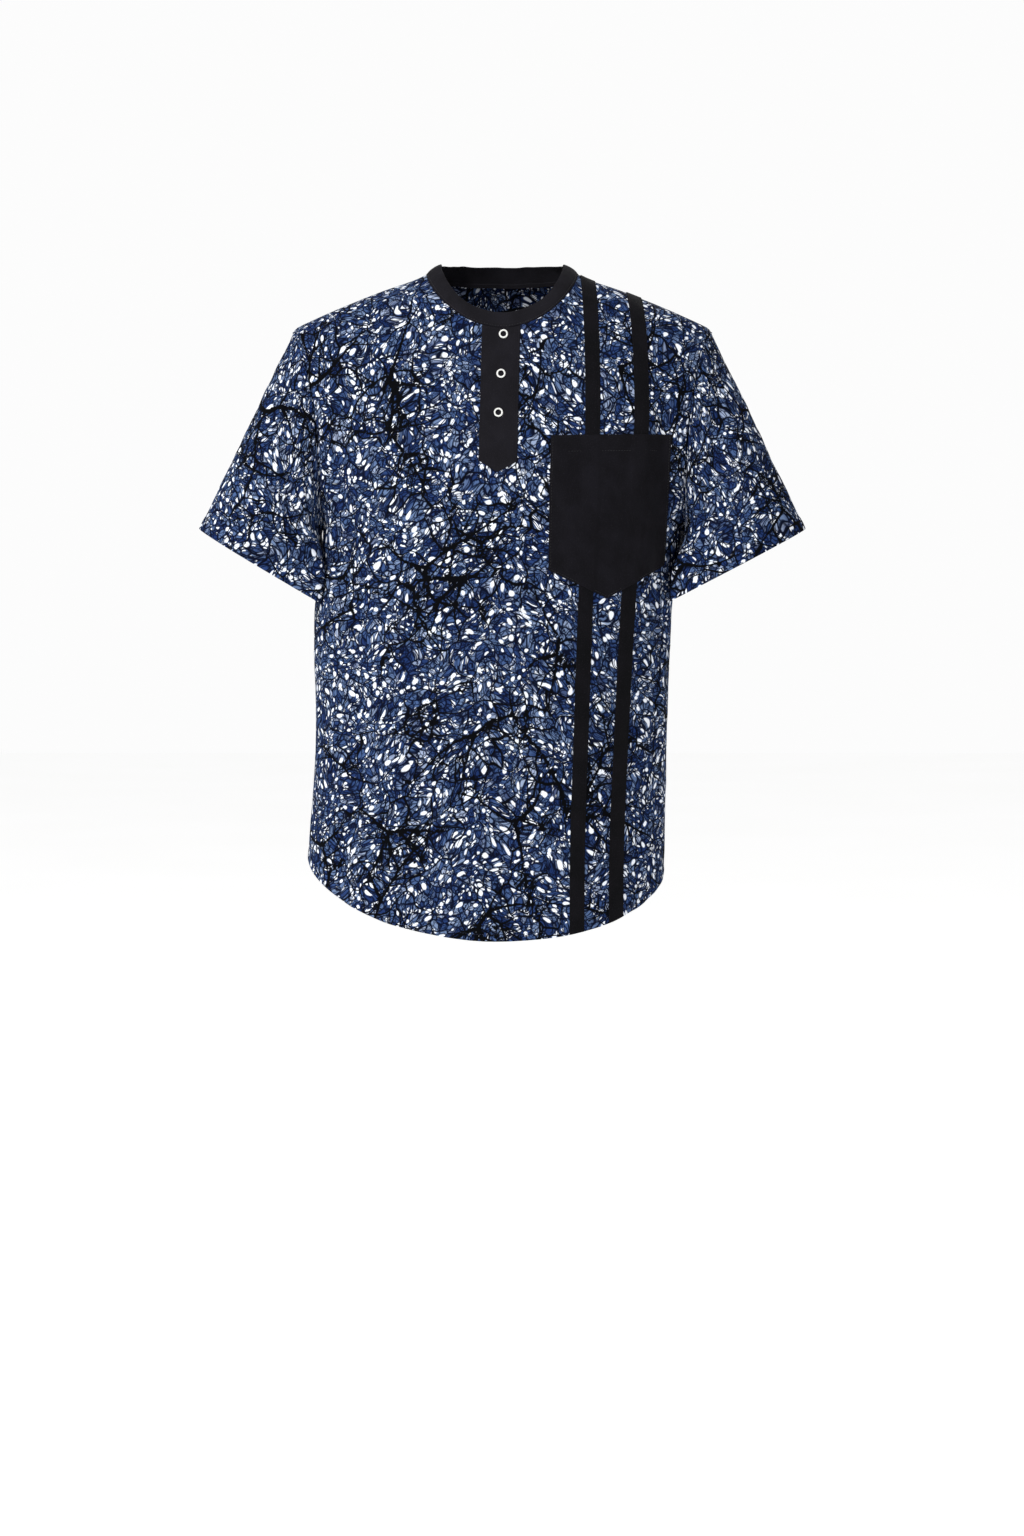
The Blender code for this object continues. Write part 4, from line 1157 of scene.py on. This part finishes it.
    # Weave: real threads lie 0.3 mm apart, drawn at 0.8 mm so that they show
    weave = 0.0
    for way in "XY":
        threads = add("TexWave", {"Vector": mm, "Scale": 1 / 0.8 / 3.14, "Distortion": 0.6,
                                  "Detail Scale": 0.4}, bands_direction=way)
        weave = add("Math", {0: weave, 1: (threads, "Fac")}, operation="ADD")
    crumple = add("TexNoise", {"Vector": mm, "Scale": 1 / 13, "Detail": 3.0}, **NOISE)
    thread = add("Bump", {"Strength": 0.25, "Distance": 0.0002, "Height": weave})
    relief = add("Bump", {"Strength": 0.35, "Distance": 0.0020, "Height": crumple,
                          "Normal": thread})
    return add("BsdfPrincipled", {"Base Color": colour, "Roughness": 0.85,
                                  "Specular IOR Level": 0.03, "Normal": relief})


def black_twill(add, deep, worn):
    """Dyed cotton twill: a deep matte black with faint diagonal ribs and a little grey lint."""
    uv = add("UVMap", uv_map="cloth")
    mm = add("VectorMath", {0: uv, 1: PER_MM}, operation="MULTIPLY")
    fade = add("TexNoise", {"Vector": mm, "Scale": 1 / 30, "Detail": 3.0}, **NOISE)
    dye = add("ValToRGB", {"Fac": fade}, stops=[(0.35, deep), (0.7, worn)])
    lint = add("TexNoise", {"Vector": mm, "Scale": 1 / 1.2, "Detail": 2.0}, **NOISE)
    speck = add("MapRange", {"Value": lint, "From Min": 0.60, "From Max": 0.82, "To Max": 0.35})
    dusty = add("Mix", {"Factor": speck, "A": dye, "B": linear("34333a")}, data_type="RGBA")

    # Twill ribs lie 0.5 mm apart in the real cloth, drawn at 1 mm so that they show
    rib = add("TexWave", {"Vector": mm, "Scale": 1 / 1.0 / 3.14, "Distortion": 0.8,
                          "Detail Scale": 0.5}, bands_direction="DIAGONAL")
    crumple = add("TexNoise", {"Vector": mm, "Scale": 1 / 16, "Detail": 3.0}, **NOISE)
    thread = add("Bump", {"Strength": 0.3, "Distance": 0.0002, "Height": (rib, "Fac")})
    relief = add("Bump", {"Strength": 0.3, "Distance": 0.0016, "Height": crumple, "Normal": thread})
    return add("BsdfPrincipled", {"Base Color": dusty, "Roughness": 0.9,
                                  "Specular IOR Level": 0.06, "Sheen Weight": 0.01,
                                  "Sheen Roughness": 0.6, "Normal": relief})


def white_enamel(add):
    """Enamelled brass of a ring snap: smooth white with a soft gloss, slightly uneven."""
    place = add("NewGeometry")
    wear = add("TexNoise", {"Vector": (place, "Position"), "Scale": 900.0, "Detail": 3.0})
    colour = add("ValToRGB", {"Fac": wear}, stops=[(0.3, "d9d9d6"), (0.65, "f2f2ee")])
    gloss = add("MapRange", {"Value": wear, "To Min": 0.25, "To Max": 0.45})
    return add("BsdfPrincipled", {"Base Color": colour, "Roughness": gloss,
                                  "Coat Weight": 0.3, "Coat Roughness": 0.2})


def sewing_thread(add, code):
    """Spun cotton thread: matte, with a twist that shows as fine slanting lines, whose grooves are
    darkened with painted shade.
    """
    place = add("NewGeometry")
    twist = add("TexWave", {"Vector": (place, "Position"), "Scale": 900.0, "Distortion": 0.5},
                bands_direction="DIAGONAL")
    # Painted shade: the grooves of the twist are painted up to a quarter darker than the thread's
    # own colour
    painted_groove_shade = add("MapRange", {"Value": (twist, "Fac"), "To Min": 0.75, "To Max": 1.0})
    colour = add("Mix", {"Factor": painted_groove_shade, "A": (0.0, 0.0, 0.0, 1.0), "B": linear(code)},
                 data_type="RGBA")
    relief = add("Bump", {"Strength": 0.4, "Distance": 0.0001, "Height": (twist, "Fac")})
    return add("BsdfPrincipled", {"Base Color": colour, "Roughness": 0.7, "Normal": relief})


def pale_floor(add):
    """A pale, matte painted studio floor."""
    place = add("NewGeometry")
    patch = add("TexNoise", {"Vector": (place, "Position"), "Scale": 1.5, "Detail": 2.0})
    colour = add("ValToRGB", {"Fac": patch}, stops=[(0.3, "f3f3f2"), (0.7, "f6f6f6")])
    return add("BsdfPrincipled", {"Base Color": colour, "Roughness": 0.9,
                                  "Specular IOR Level": 0.1, "Emission Strength": 0.58,
                                  "Emission Color": (1.0, 1.0, 1.0, 1.0)})


# Studio. The camera is level with the chest and looks slightly down, as in the photograph.
FLOOR_Z = -1.43
FLOOR_HALF = 14.0
CAMERA_PLACE = Vector((0.010925, -3.5, -0.322))
CAMERA_AIM = Vector((0.010925, 0.0, -0.5612))
CAMERA_LENS = 71.5
CAMERA_SENSOR = 36
LIGHT_AIM = Vector((0, 0, -0.4))
# Columns: name, place, size and power
LIGHTS = [
    ("key", (-2.1, -2.5, 2.7), 1.4, 165),
    ("fill", (2.6, -2.4, 0.4), 2.4, 3),
    ("back", (0.5, 3.2, 1.6), 2.4, 40),
]


def set_up(name, data, place, aim):
    """Put a light or a camera in its place, pointed at what it is aimed at."""
    thing = add_object(name, data)
    thing.location = place
    thing.rotation_euler = (aim - thing.location).to_track_quat("-Z", "Y").to_euler()
    return thing


def build_studio():
    """A white room: what the camera sees of it is near white, what lights the cloth is softer."""
    scene = bpy.context.scene
    for node in list(bpy.data.objects):
        if node.type in {"LIGHT", "CAMERA"}:
            bpy.data.objects.remove(node, do_unlink=True)
    camera = bpy.data.cameras.new("camera")
    camera.sensor_fit = "VERTICAL"
    camera.sensor_height = CAMERA_SENSOR
    camera.lens = CAMERA_LENS
    scene.camera = set_up("camera", camera, CAMERA_PLACE, CAMERA_AIM)
    for name, place, size, power in LIGHTS:
        light = bpy.data.lights.new(name, "AREA")
        light.shape = "DISK"
        light.size = size
        light.energy = power
        set_up(name, light, place, LIGHT_AIM)
    world = bpy.data.worlds.new("studio")
    world.use_nodes = True
    tree = world.node_tree
    tree.nodes.clear()
    add = partial(add_node, tree)
    ray = add("LightPath")
    power = add("MapRange", {"Value": (ray, "Is Camera Ray"), "To Min": 0.41, "To Max": 0.975})
    sky = add("Background", {"Color": (1.0, 1.0, 1.0, 1.0), "Strength": power})
    add("OutputWorld", {"Surface": sky})
    scene.world = world
    scene.view_settings.view_transform = "Standard"
    ways = ((-1, -1), (1, -1), (1, 1), (-1, 1))
    corners = [(x * FLOOR_HALF, y * FLOOR_HALF, FLOOR_Z) for x, y in ways]
    paint = make_material("matte_white_painted_floor", pale_floor)
    add_mesh("floor", corners, [(0, 1, 2, 3)], paint)


def settle_piece(piece, node):
    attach(piece, "root")
    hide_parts(node)


def add_stitches(name, runs, finish):
    """One piece of all the stitches along some lines, each with its points and normals."""
    verts = []
    faces = []
    for points, normals in runs:
        more, quads = stitch_run(points, normals)
        faces.append(quads + sum(len(part) for part in verts))
        verts.append(more)
    piece = add_mesh(name, np.vstack(verts).tolist(), np.vstack(faces).tolist(), finish)
    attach(piece, "root")


def main():
    build_studio()
    twill = "black_cotton_twill_of_"
    print_cloth = make_material("wax_printed_indigo_cotton", wax_print_cotton)
    band_cloth = make_material(twill + "band_and_placket", black_twill, "151418", "1a191e")
    pocket_cloth = make_material(twill + "pocket", black_twill, "0f0e12", "141318")
    strip_cloth = make_material(twill + "strips", black_twill, "0a0a0d", "0f0e12")
    enamel = make_material("white_enamelled_snap_ring", white_enamel)
    navy_thread = make_material("navy_cotton_sewing_thread", sewing_thread, "1a2340")
    black_thread = make_material("black_cotton_sewing_thread", sewing_thread, "17171b")
    front, front_points, rows, columns, front_hem = build_panel("front_cloth", -1, 19, print_cloth)
    back, back_points, _, _, back_hem = build_panel("back_cloth", 1, 23, print_cloth)
    settle_piece(front, "front")
    settle_piece(back, "back")
    add_stitches("hem_stitches", [front_hem, back_hem], navy_thread)
    armhole = rows >= SIDE_ROWS
    for name, hand, column, seed in (("sleeve_right", -1, 0, 37), ("sleeve_left", 1, -1, 41)):
        loop = close_loop(back_points[armhole, column], front_points[armhole, column][::-1])
        sleeve, cuff = build_sleeve(name + "_cloth", hand, loop, seed, print_cloth)
        settle_piece(sleeve, name)
        add_stitches(name + "_stitches", [cuff], navy_thread)
    on_neck = (columns >= SHOULDER_COLUMNS) & (columns <= COLUMNS - SHOULDER_COLUMNS)
    rim = close_loop(front_points[-1, on_neck], back_points[-1, on_neck][::-1])
    band, band_line = build_neckband(rim, band_cloth)
    settle_piece(band, "neckband")
    add_stitches("neckband_stitches", [band_line], black_thread)
    pocket_seams = ((POCKET_LEFT[::-1], TRIM_SEWN), (POCKET_LOW, TRIM_SEWN),
                    (POCKET_RIGHT, TRIM_SEWN), (POCKET_TOP, POCKET_HEM))
    add_stitches("pocket_stitches", [run for seam in pocket_seams for run in edge_runs(*seam)],
                 black_thread)
    settle_piece(build_placket(band_cloth), "placket")
    settle_piece(build_pocket(pocket_cloth), "pocket")
    for name, table in STRIPS.items():
        settle_piece(build_strip(name + "_cloth", table, strip_cloth), name)
    for name, (x, z) in SNAPS.items():
        settle_piece(build_snap(name, x, z, enamel), name)


main()
